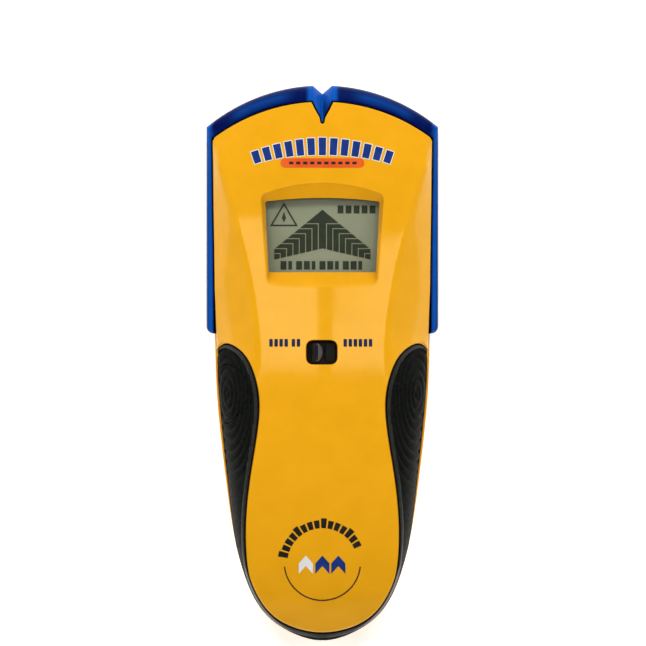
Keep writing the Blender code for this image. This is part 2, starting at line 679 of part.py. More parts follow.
def battery():
    block("battery_9v", (-BATTERY_HALF, BATTERY_HALF), BATTERY_Y, BATTERY_Z, JACKET, 1.6)
    middle_z = sum(BATTERY_Z) / 2
    stud_y = BATTERY_Y[1] + GAP
    snap_y = stud_y + TERMINAL_LENGTH + GAP
    for pole, (sign, radius) in TERMINALS.items():
        x = sign * TERMINAL_SPACING / 2
        middle = (x, stud_y + TERMINAL_LENGTH / 2, middle_z)
        rod("battery_terminal_" + pole, middle, radius, TERMINAL_LENGTH, "Y", STEEL, 16)
        around = (x, snap_y - 1.2, middle_z)
        ring = rod("snap_contact_" + pole, around, radius + 0.8, 1.8, "Y", BRASS, 16)
        cut(ring, rod("contact_bore_" + pole, around, radius + GAP, 9, "Y"))
    snap_x = BATTERY_HALF - 0.9
    lead_y = snap_y + SNAP_THICKNESS
    block("snap_plate", (-snap_x, snap_x), (snap_y, lead_y), (middle_z - 6, middle_z + 6), BLACK, 0.4)
    for name, sign, material in (("lead_red", -1, RED_LEAD), ("lead_black", 1, BLACK_LEAD)):
        route = [(sign * x, lead_y + GAP + y, z) for x, y, z in LEAD_ROUTE]
        wire(name, route, LEAD_RADIUS, material)


def battery_door():
    door = plate("battery_door", rounded_box((-DOOR_HALF, DOOR_HALF), DOOR_Y, 1.2), DOOR_Z, YELLOW)
    join(door, block("door_tab", (-DOOR_TAB_HALF, DOOR_TAB_HALF), (DOOR_TAB_END, DOOR_Y[0] + 2), DOOR_Z))
    for side, sign in (("left", -1), ("right", 1)):
        join(door, rod("door_pin_" + side, (sign * (DOOR_HALF + 0.3), *HINGE), *HINGE_PIN, "X", sides=12))
    half, width, spacing = FINGER_GROOVE
    for line in range(3):
        y = DOOR_TAB_END + 1.1 + spacing * line
        cut(door, block(f"finger_groove_{line}", (-half, half), (y, y + width), (0, DOOR_Z[0] + 0.5)))
    pad = block("door_pad", DOOR_PAD[:2], DOOR_PAD[2:], (DOOR_Z[1] + GAP, BATTERY_Z[0] - GAP), FOAM)
    for piece in (door, pad):
        origin_to(piece, (0, *HINGE))


def origin_to(piece, place):
    """Move an object's origin to a place without moving its shape."""
    shift = Vector(place) * MM - piece.location
    for vert in piece.data.vertices:
        vert.co -= shift
    piece.location = Vector(place) * MM


def case_screws():
    for side, place in CASE_SCREWS.items():
        screw("case_screw_" + side, place, CASE_SCREW_SEAT, CASE_SCREW_TIP, *CASE_SCREW)


rear_case()
front_cover()
grip_overmould()
light_bezel()
power_button()
mode_control()
display()
boards()
battery()
battery_door()
case_screws()
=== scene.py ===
"""Looks of the stud finder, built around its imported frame.

Lengths are in millimetres in this script, and MM turns them into metres where a mesh is made.
+Y points to the pointer notch, +X is to the right of the display, and the back lies on Z = 0.
"""

import json
import math

import bmesh
import bpy
import numpy as np
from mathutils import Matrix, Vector
from mathutils.geometry import delaunay_2d_cdt


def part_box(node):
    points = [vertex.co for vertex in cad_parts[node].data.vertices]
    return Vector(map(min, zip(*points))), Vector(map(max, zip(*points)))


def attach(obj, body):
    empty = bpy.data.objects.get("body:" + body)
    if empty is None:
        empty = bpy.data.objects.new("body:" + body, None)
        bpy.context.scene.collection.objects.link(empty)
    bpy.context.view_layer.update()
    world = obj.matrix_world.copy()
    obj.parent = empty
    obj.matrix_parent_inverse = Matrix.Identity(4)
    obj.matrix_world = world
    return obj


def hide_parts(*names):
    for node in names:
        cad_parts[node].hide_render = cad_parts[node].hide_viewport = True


MM = 0.001

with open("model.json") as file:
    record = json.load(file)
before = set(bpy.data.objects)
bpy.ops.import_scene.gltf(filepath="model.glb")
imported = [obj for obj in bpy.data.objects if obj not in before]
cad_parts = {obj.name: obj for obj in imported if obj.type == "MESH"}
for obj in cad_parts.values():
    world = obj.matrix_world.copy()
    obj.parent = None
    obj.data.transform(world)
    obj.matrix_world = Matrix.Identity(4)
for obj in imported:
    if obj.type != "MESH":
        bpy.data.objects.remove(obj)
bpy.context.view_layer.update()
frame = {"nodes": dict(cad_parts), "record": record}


def box_mm(node):
    """The low and high corners of a CAD node's box."""
    return [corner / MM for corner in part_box(node)]


# Casing plan, as in the CAD: half widths and places from the head's corner to the tail
HEAD_END = 85.7
HEAD_ARC = 59.5
SIDE_KNOTS = [(36.0, 73.6), (35.8, 56), (35.5, 38), (35.3, 20), (35.2, 5), (34.7, -9.5), (33.3, -25),
              (31.5, -40), (29.3, -55), (26.3, -67.3), (22.4, -77), (16.9, -84), (9.2, -88.8), (0, -91)]
HEAD_CORNER = SIDE_KNOTS[0]
COVER_STEP = 0.7              # how far the cover stands in from the rear case, at most
COVER_STEP_MIDDLE = -18
COVER_STEP_REACH = 42
TONGUE_KNOTS = [(35.4, 3.6), (33.3, 5.7), (30.3, 6.3), (25.3, 2.7), (21.9, -4.5), (20.5, -14), (21.7, -26),
                (23.6, -38), (24.9, -52), (24.6, -64.4), (22.9, -72), (18.7, -79.8), (11.3, -85.7),
                (0, -88.2)]

# Front face: height along the centre line, and half width of the crowned face between the creases
CREST_KNOTS = [(88, 15.4), (74, 19.4), (60, 22.0), (42, 24.4), (25, 26.4), (5, 28.9), (-15, 31.0),
               (-35, 32.2), (-55, 31.2), (-70, 27.9), (-80, 23.4), (-86, 19.2), (-89.2, 16.4), (-91, 14.8)]
CREASE_KNOTS = [(90, 37), (74, 36.2), (62, 33.5), (51, 29.8), (41, 27.1), (32, 25.0), (21, 23.1),
                (10, 21.8), (0, 21.1), (-14, 20.9), (-25, 22.1), (-38, 24.0), (-52, 25.4), (-65, 25.2),
                (-75, 22.4), (-83, 17.2), (-91, 12)]
FACE_CROWN = 1.1
HEAD_RIM = 14.6               # height of the yellow where the head's sides turn down
GRIP_RIM = 13.0               # the same on the handle
CREASE_SOFTNESS = 0.055
HEAD_CREASE_SOFTNESS = 0.3
HEAD_BOW_START = 20           # the face bows with the pointer end from here on
HANDLE_START = 14             # the flanks change from the head's shape to the handle's from here on
HANDLE_BLEND = 22
HEAD_SOFT_START = 42          # the creases grow softer towards the head from here on
HEAD_SOFT_BLEND = 30
GRIP_FALL = 1.7               # how late the handle's flank turns down

# Cover
COVER_FOOT = 10.0
HEAD_FOOT = 10.8
COVER_WALL = 1.4
COVER_EDGE = 0.5              # radius of its edges on the handle
HEAD_EDGE = 0.25              # the same on the head
TONGUE_WALL = 0.8             # short enough for the power button to pass under when pressed
SILL_TOP = 11.6
SILL_WIDTH = 2.3
WELL_EDGE = dict(radius=0.7, tilt=42)
LEDGE = box_mm("window_gasket")[1].z + 0.2
LEDGE_LIP = 0.35
KNOB_WALL = 2.6               # how far down the wall of the slide's window goes
# openings in the face: ends along the tool, half widths there, how far the ends bow, and corner radius
DISPLAY_RIM = dict(low=26.2, high=55.0, low_half=17.9, high_half=20.2, low_bow=0.9, high_bow=3.8,
                   radius=1.8)
DISPLAY_VIEW = dict(low=29.85, high=52.9, low_half=17.55, high_half=18.7, low_bow=0.0, high_bow=1.2,
                    radius=0.7)
KNOB_WINDOW = dict(low=-0.35, high=7.6, low_half=5.1, high_half=5.1, low_bow=0.0, high_bow=0.0,
                   radius=2.6, middle=-0.2, per_edge=8)

# Bezel plan
BEZEL_HALF = 38.1
BEZEL_FOOT = 9.7
BEZEL_END = 91.3
SEAM = 0.3                    # gap between the cover and its neighbours
NOTCH_HALF = 3.1
NOTCH_DEPTH = 2.9
WEDGE_HALF = 3.3
WEDGE_TIP = 78.6
# the wedge's outline: how far down it, and its width there as a share
WEDGE_SHAPE = [(0, 1), (0.35, 0.62), (0.68, 0.22), (0.76, 0.16), (0.92, 0.14), (0.98, 0.08), (1, 0)]


# ---------------------------------------------------------------- curves

def spline(at, values):
    """The natural cubic spline through values at the given places, as a function of an array."""
    at = np.asarray(list(at), float)
    values = np.asarray(values, float)
    flat = values.ndim == 1
    if flat:
        values = values[:, None]
    step = np.diff(at)
    system = np.eye(len(at))
    target = np.zeros_like(values)
    for i in range(1, len(at) - 1):
        system[i, i - 1:i + 2] = step[i - 1], 2 * (step[i - 1] + step[i]), step[i]
        target[i] = 6 * ((values[i + 1] - values[i]) / step[i] - (values[i] - values[i - 1]) / step[i - 1])
    bend = np.linalg.solve(system, target)

    def read(place):
        place = np.asarray(place, float)
        inside = np.clip(place.ravel(), at[0], at[-1])
        i = np.clip(np.searchsorted(at, inside) - 1, 0, len(at) - 2)
        width = step[i][:, None]
        ahead = at[i + 1][:, None] - inside[:, None]
        behind = inside[:, None] - at[i][:, None]
        found = (bend[i] * ahead ** 3 + bend[i + 1] * behind ** 3) / (6 * width)
        found += (values[i] / width - bend[i] * width / 6) * ahead
        found += (values[i + 1] / width - bend[i + 1] * width / 6) * behind
        return found[:, 0].reshape(place.shape) if flat else found

    return read


def right_side(knots, count):
    """Points down a smooth symmetric curve, from its first knot to the last, on the centre line."""
    mirrored = [(-x, y) for x, y in knots[-2::-1]]
    read = spline(range(2 * len(knots) - 1), list(knots) + mirrored)
    return read(np.linspace(0, len(knots) - 1, count))


def even(points, count):
    """Points at equal distances along an open polyline."""
    points = np.asarray(points, float)
    along = np.concatenate(([0], np.cumsum(np.linalg.norm(np.diff(points, axis=0), axis=1))))
    places = np.linspace(0, along[-1], count)
    return np.column_stack([np.interp(places, along, points[:, axis]) for axis in range(points.shape[1])])


def divide(points, spacing):
    """A closed outline with its long edges divided, keeping every corner."""
    found = []
    for here, there in zip(points, np.roll(points, -1, axis=0)):
        parts = max(1, int(math.ceil(np.linalg.norm(there - here) / spacing)))
        found += [here + (there - here) * part / parts for part in range(parts)]
    return np.array(found)


def outward(points):
    """Normals of a closed outline with its material on its left, and how far each is stretched."""
    ahead = np.roll(points, -1, axis=0) - points
    behind = points - np.roll(points, 1, axis=0)
    normals = []
    for run in (behind, ahead):
        run = run / np.maximum(np.linalg.norm(run, axis=1), 1e-9)[:, None]
        normals.append(np.column_stack((run[:, 1], -run[:, 0])))
    middle = normals[0] + normals[1]
    middle /= np.maximum(np.linalg.norm(middle, axis=1), 1e-9)[:, None]
    stretch = 1 / np.clip((middle * normals[1]).sum(1), 0.55, 1)
    return middle, stretch


def smooth_step(value):
    value = np.clip(value, 0, 1)
    return value * value * (3 - 2 * value)


def soft_band(value, start, rise, end, fall):
    """1 between a start and an end, 0 outside them, with soft ends of the given lengths inside them."""
    return smooth_step((value - start) / rise) * smooth_step((end - value) / fall)


def arc_drop(x, radius=HEAD_ARC):
    """How far the arched head end has dropped at a distance from the centre line."""
    return radius - np.sqrt(radius ** 2 - np.asarray(x, float) ** 2)


SIDE = right_side(SIDE_KNOTS, 400)
TONGUE = right_side(TONGUE_KNOTS, 400)
crest = spline([-y for y, z in CREST_KNOTS], [z for y, z in CREST_KNOTS])
crease_of = spline([-y for y, x in CREASE_KNOTS], [x for y, x in CREASE_KNOTS])


def side_half(y):
    """Half width of the casing at a place along the tool."""
    return np.interp(-y, -SIDE[:, 1], SIDE[:, 0])


def cover_half(y):
    """Half width of the cover at a place along the tool."""
    reach = (y - COVER_STEP_MIDDLE) / COVER_STEP_REACH
    return side_half(y) - COVER_STEP * np.maximum(0, 1 - reach ** 2)


def front(x, y):
    """Height of the front face at plan points: a crowned face between creases, and flanks outside them."""
    x, y = np.abs(np.asarray(x, float)), np.asarray(y, float)
    edge = np.maximum(cover_half(y), 0.1)
    crease = np.minimum(crease_of(-y), edge - np.minimum(1.6, 0.3 * edge))
    handle = smooth_step((HANDLE_START - y) / HANDLE_BLEND)
    rim = HEAD_RIM + (GRIP_RIM - HEAD_RIM) * handle
    across = (x - crease) / (edge - crease)
    softness = CREASE_SOFTNESS + HEAD_CREASE_SOFTNESS * smooth_step((y - HEAD_SOFT_START) / HEAD_SOFT_BLEND)
    ramp = (across + np.sqrt(across ** 2 + softness ** 2)) / 2
    head_fall = ramp * (0.8 + 0.2 * ramp)
    handle_fall = 1 - np.sqrt(np.clip(1 - np.clip(ramp, 0, 1) ** GRIP_FALL, 0, 1))
    fall = head_fall + (handle_fall - head_fall) * handle
    bow = np.clip((y - HEAD_BOW_START) / (HEAD_CORNER[1] - HEAD_BOW_START), 0, 1) ** 2
    top = crest(-(y + bow * arc_drop(np.minimum(x, BEZEL_HALF))))
    return top - FACE_CROWN * np.minimum(x / crease, 1) ** 2 - (top - FACE_CROWN - rim) * fall


def normal_of(height, x, y, reach=0.05):
    """Unit normals of a height function at plan points."""
    along_x = (height(x + reach, y) - height(x - reach, y)) / (2 * reach)
    along_y = (height(x, y + reach) - height(x, y - reach)) / (2 * reach)
    found = np.column_stack((-along_x, -along_y, np.ones(len(x))))
    return found / np.linalg.norm(found, axis=1)[:, None]


def panel_outline(low, high, low_half, high_half, low_bow, high_bow, radius, middle=0.0, per_edge=28,
                  per_corner=7):
    """A four-sided outline with bowed ends and round corners, anticlockwise from the lower left."""
    corners = np.array([(-low_half, low), (low_half, low), (high_half, high), (-high_half, high)], float)
    bows = (low_bow, 0, high_bow, 0)
    edges = []
    for i, bow in enumerate(bows):
        start, end = corners[i], corners[(i + 1) % 4]
        run = end - start
        length = np.linalg.norm(run)
        out = np.array((run[1], -run[0])) / length
        share = np.linspace(radius / length, 1 - radius / length, per_edge)[:, None]
        edges.append(start + run * share + out * bow * 4 * share * (1 - share))
    outline = []
    for i, edge in enumerate(edges):
        following = edges[(i + 1) % 4]
        corner = corners[(i + 1) % 4]
        turn = np.linspace(0, 1, per_corner + 2)[1:-1, None]
        bend = edge[-1] * (1 - turn) ** 2 + corner * 2 * turn * (1 - turn) + following[0] * turn ** 2
        outline += [edge, bend]
    return np.vstack(outline) + (middle, 0)


def rectangle(left, right, low, high, radius, per_corner=6):
    """A rectangle with round corners, anticlockwise."""
    points = []
    for x, y, start in ((right - radius, low + radius, -90), (right - radius, high - radius, 0),
                        (left + radius, high - radius, 90), (left + radius, low + radius, 180)):
        turns = np.radians(start + np.linspace(0, 90, per_corner))
        points += [(x + radius * math.cos(turn), y + radius * math.sin(turn)) for turn in turns]
    return np.array(points)


def rounded(outline, radius, steps=5):
    """The same closed outline with every corner rounded."""
    found = []
    for before, here, after in zip(np.roll(outline, 1, axis=0), outline, np.roll(outline, -1, axis=0)):
        reach = [min(radius, 0.45 * np.linalg.norm(other - here)) for other in (before, after)]
        start = here + (before - here) / np.linalg.norm(before - here) * reach[0]
        end = here + (after - here) / np.linalg.norm(after - here) * reach[1]
        for turn in np.linspace(0, 1, steps):
            found.append(start * (1 - turn) ** 2 + here * 2 * turn * (1 - turn) + end * turn ** 2)
    return np.array(found)


def circle(radius, sides):
    """A circle round the origin, anticlockwise."""
    turn = np.linspace(0, 2 * math.pi, sides, endpoint=False)
    return radius * np.column_stack((np.cos(turn), np.sin(turn)))


def anticlockwise(shape):
    """The outline with its material on its left."""
    area = np.sum(shape[:, 0] * np.roll(shape[:, 1], -1) - shape[:, 1] * np.roll(shape[:, 0], -1))
    return shape if area > 0 else shape[::-1]


def moved_out(outline, distance):
    """The outline moved outwards by a distance, or inwards where it is negative."""
    out, stretch = outward(outline)
    return outline + out * (distance * stretch)[:, None]


def at_height(plan, z):
    return np.column_stack((plan, np.full(len(plan), float(z))))


def upright(x, section):
    """A ring at a place along X, from its Y and Z."""
    return np.column_stack((np.full(len(section), float(x)), section))


# ---------------------------------------------------------------- mesh building

def piece_from(name, vertices, faces, material, normals=None):
    """A mesh object from millimetre points, smooth shaded, with its own normals where given."""
    mesh = bpy.data.meshes.new(name)
    mesh.from_pydata((np.asarray(vertices) * MM).tolist(), [], [list(face) for face in faces])
    mesh.validate()
    mesh.update()
    mesh.shade_smooth()
    if normals is not None and len(normals) == len(mesh.vertices):
        mesh.normals_split_custom_set_from_vertices([tuple(normal) for normal in normals])
    mesh.materials.append(material)
    piece = bpy.data.objects.new(name, mesh)
    bpy.context.scene.collection.objects.link(piece)
    return piece


def settle(piece, body, node=None):
    """Tie a piece to its body, and hide the CAD node that it stands for."""
    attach(piece, body)
    if node:
        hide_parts(node)


def inside(points, loops):
    """Whether each plan point is inside the outlines taken together, by the even-odd rule."""
    found = np.zeros(len(points), bool)
    for loop in loops:
        for (x0, y0), (x1, y1) in zip(loop, np.roll(loop, -1, axis=0)):
            if y0 == y1:
                continue
            crosses = (y0 > points[:, 1]) != (y1 > points[:, 1])
            at = x0 + (points[:, 1] - y0) * (x1 - x0) / (y1 - y0)
            found ^= crosses & (points[:, 0] < at)
    return found


def clear_of(points, loops, distance):
    """Whether each plan point is further than a distance from every outline."""
    clear = np.ones(len(points), bool)
    for loop in loops:
        for start, end in zip(loop, np.roll(loop, -1, axis=0)):
            run = end - start
            share = np.clip(((points - start) @ run) / max(run @ run, 1e-12), 0, 1)
            clear &= np.hypot(*(points - start - share[:, None] * run).T) > distance
    return clear


def grid_inside(loops, spacing, clearance):
    """Plan points on a square grid inside the outlines, further than a clearance from them."""
    plans = np.vstack(loops)
    lines = [np.arange(low + spacing / 2, high, spacing) for low, high in zip(plans.min(0), plans.max(0))]
    grid = np.array(np.meshgrid(*lines)).reshape(2, -1).T
    grid = grid[inside(grid, loops)]
    return grid[clear_of(grid, loops, clearance)]


def triangulated(plan, chains, loops):
    """Triangles inside the outlines: their places, the point that each place comes from or -1, and faces."""
    made, _, faces, origins, _, _ = delaunay_2d_cdt([Vector(point) for point in plan], chains, [], 0, 1e-5)
    made = np.array([tuple(place) for place in made])
    kept = inside(np.array([made[list(face)].mean(0) for face in faces]), loops)
    first = np.array([origin[0] if origin else -1 for origin in origins])
    return made, first, [list(face) for face, keep in zip(faces, kept) if keep]


def border_rings(loop, height, steps):
    """Rings of points and normals over the rounded border of one loop, from the face outwards."""
    outline = loop["outline"]
    out, stretch = outward(outline)
    radius = np.broadcast_to(loop["radius"], len(outline)).astype(float)
    limit = math.radians(loop.get("tilt", 90))
    rings = []
    for tilt in np.linspace(0, limit, steps + 1):
        ring = outline - out * (radius * (math.sin(limit) - math.sin(tilt)) * stretch)[:, None]
        z = height(ring[:, 0], ring[:, 1]) - radius * (1 - math.cos(tilt))
        up = normal_of(height, ring[:, 0], ring[:, 1])
        turned = up * math.cos(tilt) + at_height(out, 0) * math.sin(tilt)
        rings.append((np.column_stack((ring, z)), turned / np.linalg.norm(turned, axis=1)[:, None]))
    return rings


def skin(name, loops, height, spacing, material, thickness, steps=4):
    """A wall under a face over a plan region, with rounded borders and skirts.

    Each loop is a dict: outline (material on its left), radius (a number or one for each point), tilt of
    the border in degrees, and skirts, a list of functions from (outline, border height, outward) to (xyz,
    normals). The wall's thickness is a function of the points.
    """
    points, normals, chains, borders = [], [], [], []
    count = 0
    for loop in loops:
        for ring, turned in border_rings(loop, height, steps):
            points.append(ring)
            normals.append(turned)
            chains += [(count + i, count + (i + 1) % len(ring)) for i in range(len(ring))]
            count += len(ring)
        borders.append((count - len(ring), loop, ring[:, 2]))
    plans = [loop["outline"] for loop in loops]
    reach = max(float(np.max(loop["radius"])) for loop in loops) + 0.4 * spacing
    x, y = grid_inside(plans, spacing, reach).T
    points, normals = np.vstack(points), np.vstack(normals)
    points = np.vstack((points, np.column_stack((x, y, height(x, y)))))
    normals = np.vstack((normals, normal_of(height, x, y)))
    made, place, faces = triangulated(points[:, :2], chains, plans)
    new = place < 0
    if new.any():
        x, y = made[new].T
        place[new] = len(points) + np.arange(len(x))
        points = np.vstack((points, np.column_stack((x, y, height(x, y)))))
        normals = np.vstack((normals, normal_of(height, x, y)))
    faces = [[int(place[i]) for i in face] for face in faces]
    for start, loop, z in borders:
        outline = loop["outline"]
        ring = list(range(start, start + len(outline)))
        for skirt in loop["skirts"]:
            xyz, turned = skirt(outline, z, outward(outline)[0])
            lower = list(range(len(points), len(points) + len(xyz)))
            points, normals = np.vstack((points, xyz)), np.vstack((normals, turned))
            faces += [[ring[i], ring[i - 1], lower[i - 1], lower[i]] for i in range(len(ring))]
            ring = lower
    return tidy_piece(name, *thickened(points, normals, faces, thickness(points)), material)


def thickened(points, normals, faces, thickness):
    """The points, normals and faces of a closed wall, with a second surface behind the given one."""
    count = len(points)
    edges = {}
    for face in faces:
        for i, here in enumerate(face):
            there = face[(i + 1) % len(face)]
            if (there, here) in edges:
                del edges[(there, here)]
            else:
                edges[(here, there)] = True
    behind = [[i + count for i in reversed(face)] for face in faces]
    rims = [[there, here, here + count, there + count] for here, there in edges]
    both = np.vstack((points, points - normals * np.reshape(thickness, (-1, 1))))
    return both, np.vstack((normals, -normals)), faces + behind + rims


def tidy_piece(name, points, normals, faces, material):
    """Make a piece from the points that its faces use."""
    used = sorted({i for face in faces for i in face})
    place = {old: new for new, old in enumerate(used)}
    faces = [[place[i] for i in face] for face in faces]
    return piece_from(name, points[used], faces, material, normals[used])


def wall_to(foot):
    """A skirt straight down to a height, given as a function of plan points and the border's height."""
    def skirt(outline, z, out):
        return np.column_stack((outline, foot(outline, z))), at_height(out, 0)
    return skirt


def strip(count, width):
    """Quads between closed rings of equal length, from the first vertex number on."""
    faces = []
    for i in range(count - 1):
        for j in range(width):
            beside = (j + 1) % width
            faces.append([i * width + j, i * width + beside, (i + 1) * width + beside, (i + 1) * width + j])
    return faces


def loft(name, rings, material):
    """A closed solid through rings with equal numbers of points."""
    count, width = len(rings), len(rings[0])
    faces = strip(count, width)
    faces += [list(range(width))[::-1], [(count - 1) * width + j for j in range(width)]]
    made = piece_from(name, np.vstack(rings), faces, material)
    outward_faces(made)
    return made


def outward_faces(piece):
    bm = bmesh.new()
    bm.from_mesh(piece.data)
    bmesh.ops.recalc_face_normals(bm, faces=bm.faces)
    bm.to_mesh(piece.data)
    bm.free()


def boolean(piece, cutter, operation="DIFFERENCE"):
    """Cut a piece with a cutter, or keep what they share, and remove the cutter."""
    modifier = piece.modifiers.new("cut", "BOOLEAN")
    modifier.operation = operation
    modifier.solver = "MANIFOLD"
    modifier.object = cutter
    bpy.context.view_layer.update()
    graph = bpy.context.evaluated_depsgraph_get()
    mesh = bpy.data.meshes.new_from_object(piece.evaluated_get(graph), depsgraph=graph)
    piece.modifiers.clear()
    piece.data = mesh
    bpy.data.objects.remove(cutter)


def smooth_by_angle(piece, degrees=35):
    piece.data.shade_smooth()
    piece.data.set_sharp_from_angle(angle=math.radians(degrees))


def prism(name, outline, low, high, material):
    """A plain upright prism."""
    return loft(name, [at_height(outline, z) for z in (low, high)], material)


def rounded_plate(name, outline, low, high, edge, material, under=0.0, steps=4):
    """A flat plate with a rounded upper edge, and lower edge if under is set."""
    tilts = np.linspace(0, math.pi / 2, steps + 1)
    rings = [at_height(moved_out(outline, -under * (1 - math.sin(tilt))), low + under * (1 - math.cos(tilt)))
             for tilt in (tilts if under else tilts[-1:])]
    rings += [at_height(moved_out(outline, -edge * (1 - math.sin(tilt))), high - edge * (1 - math.cos(tilt)))
              for tilt in tilts[::-1]]
    made = loft(name, rings, material)
    smooth_by_angle(made, 35)
    return made


def dome_at(name, place, radius, z, height, material, steps=5, sides=24):
    """A small closed dome on a flat base."""
    points, faces = [], []
    for step in range(steps):
        tilt = math.pi / 2 * step / steps
        for side in range(sides):
            turn = 2 * math.pi * side / sides
            points.append((place[0] + radius * math.cos(tilt) * math.cos(turn),
                           place[1] + radius * math.cos(tilt) * math.sin(turn), z + height * math.sin(tilt)))
    points.append((*place, z + height))
    faces = strip(steps, sides)
    last = (steps - 1) * sides
    faces += [[last + i, last + (i + 1) % sides, len(points) - 1] for i in range(sides)]
    faces.append(list(range(sides))[::-1])
    dome = piece_from(name, points, faces, material)
    outward_faces(dome)
    return dome


# ---------------------------------------------------------------- materials

class Paint:
    """A Principled material with helpers for its procedural detail."""

    def __init__(self, name, roughness, metallic=0.0, **sockets):
        self.name = name
        self.material = bpy.data.materials.new(name)
        self.material.use_nodes = True
        self.nodes = self.material.node_tree.nodes
        self.links = self.material.node_tree.links
        self.shader = self.nodes["Principled BSDF"]
        self.shader.inputs["Roughness"].default_value = roughness
        self.shader.inputs["Metallic"].default_value = metallic
        for socket, value in sockets.items():
            self.shader.inputs[socket.replace("_", " ")].default_value = value
        self.place = self.nodes.new("ShaderNodeTexCoord").outputs["Object"]

    def noise(self, size, detail=3.0, stretch=(1, 1, 1)):
        """Noise with grains of a size in millimetres."""
        mapping = self.nodes.new("ShaderNodeMapping")
        mapping.inputs["Scale"].default_value = [1 / (size * MM * share) for share in stretch]
        self.links.new(self.place, mapping.inputs["Vector"])
        texture = self.nodes.new("ShaderNodeTexNoise")
        texture.inputs["Scale"].default_value = 1.0
        texture.inputs["Detail"].default_value = detail
        self.links.new(mapping.outputs["Vector"], texture.inputs["Vector"])
        return texture.outputs["Fac"]

    def ramp(self, value, low, high, stops=(0.35, 0.65)):
        """A colour ramp between two colours over a value."""
        ramp = self.nodes.new("ShaderNodeValToRGB")
        for element, place, colour in zip(ramp.color_ramp.elements, stops, (low, high)):
            element.position = place
            element.color = (*colour, 1)
        self.links.new(value, ramp.inputs["Fac"])
        return ramp.outputs["Color"]

    def colour(self, low, high, size, detail=3.0, stops=(0.35, 0.65)):
        mixed = self.ramp(self.noise(size, detail), low, high, stops)
        self.links.new(mixed, self.shader.inputs["Base Color"])
        return self

    def gloss(self, low, high, size):
        """Roughness that varies between two values."""
        grey = self.ramp(self.noise(size), (low,) * 3, (high,) * 3)
        self.links.new(grey, self.shader.inputs["Roughness"])
        return self

    def bump(self, size, depth, strength=1.0, stretch=(1, 1, 1)):
        """A fine surface grain: size and depth in millimetres."""
        bump = self.nodes.new("ShaderNodeBump")
        bump.inputs["Strength"].default_value = strength
        bump.inputs["Distance"].default_value = depth * MM
        self.links.new(self.noise(size, 4.0, stretch), bump.inputs["Height"])
        self.links.new(bump.outputs["Normal"], self.shader.inputs["Normal"])
        return self


# the bezel's own deep navy, and the lighter blue of its painted glow
BLUE_DEEP = (0.0013, 0.0022, 0.056)
BLUE_PAINTED_GLOW = (0.005, 0.085, 0.42)


def painted_glow_blue():
    """Blue plastic with a painted glow: its base colour is lighter where its glow attribute is high."""
    paint = Paint("blue_translucent", 0.1, IOR=1.5, Specular_IOR_Level=0.2,
                  Specular_Tint=(0.04, 0.30, 1.0, 1))
    glow = paint.nodes.new("ShaderNodeAttribute")
    glow.attribute_name = "glow"
    cloud = paint.nodes.new("ShaderNodeMath")
    cloud.operation = "MULTIPLY_ADD"
    cloud.inputs[1].default_value = 0.22
    paint.links.new(paint.noise(7, 4.0), cloud.inputs[0])
    paint.links.new(glow.outputs["Fac"], cloud.inputs[2])
    ramp = paint.ramp(cloud.outputs["Value"], BLUE_DEEP, BLUE_PAINTED_GLOW, (0.08, 1.1))
    paint.links.new(ramp, paint.shader.inputs["Base Color"])
    return paint.bump(2.0, 0.003)


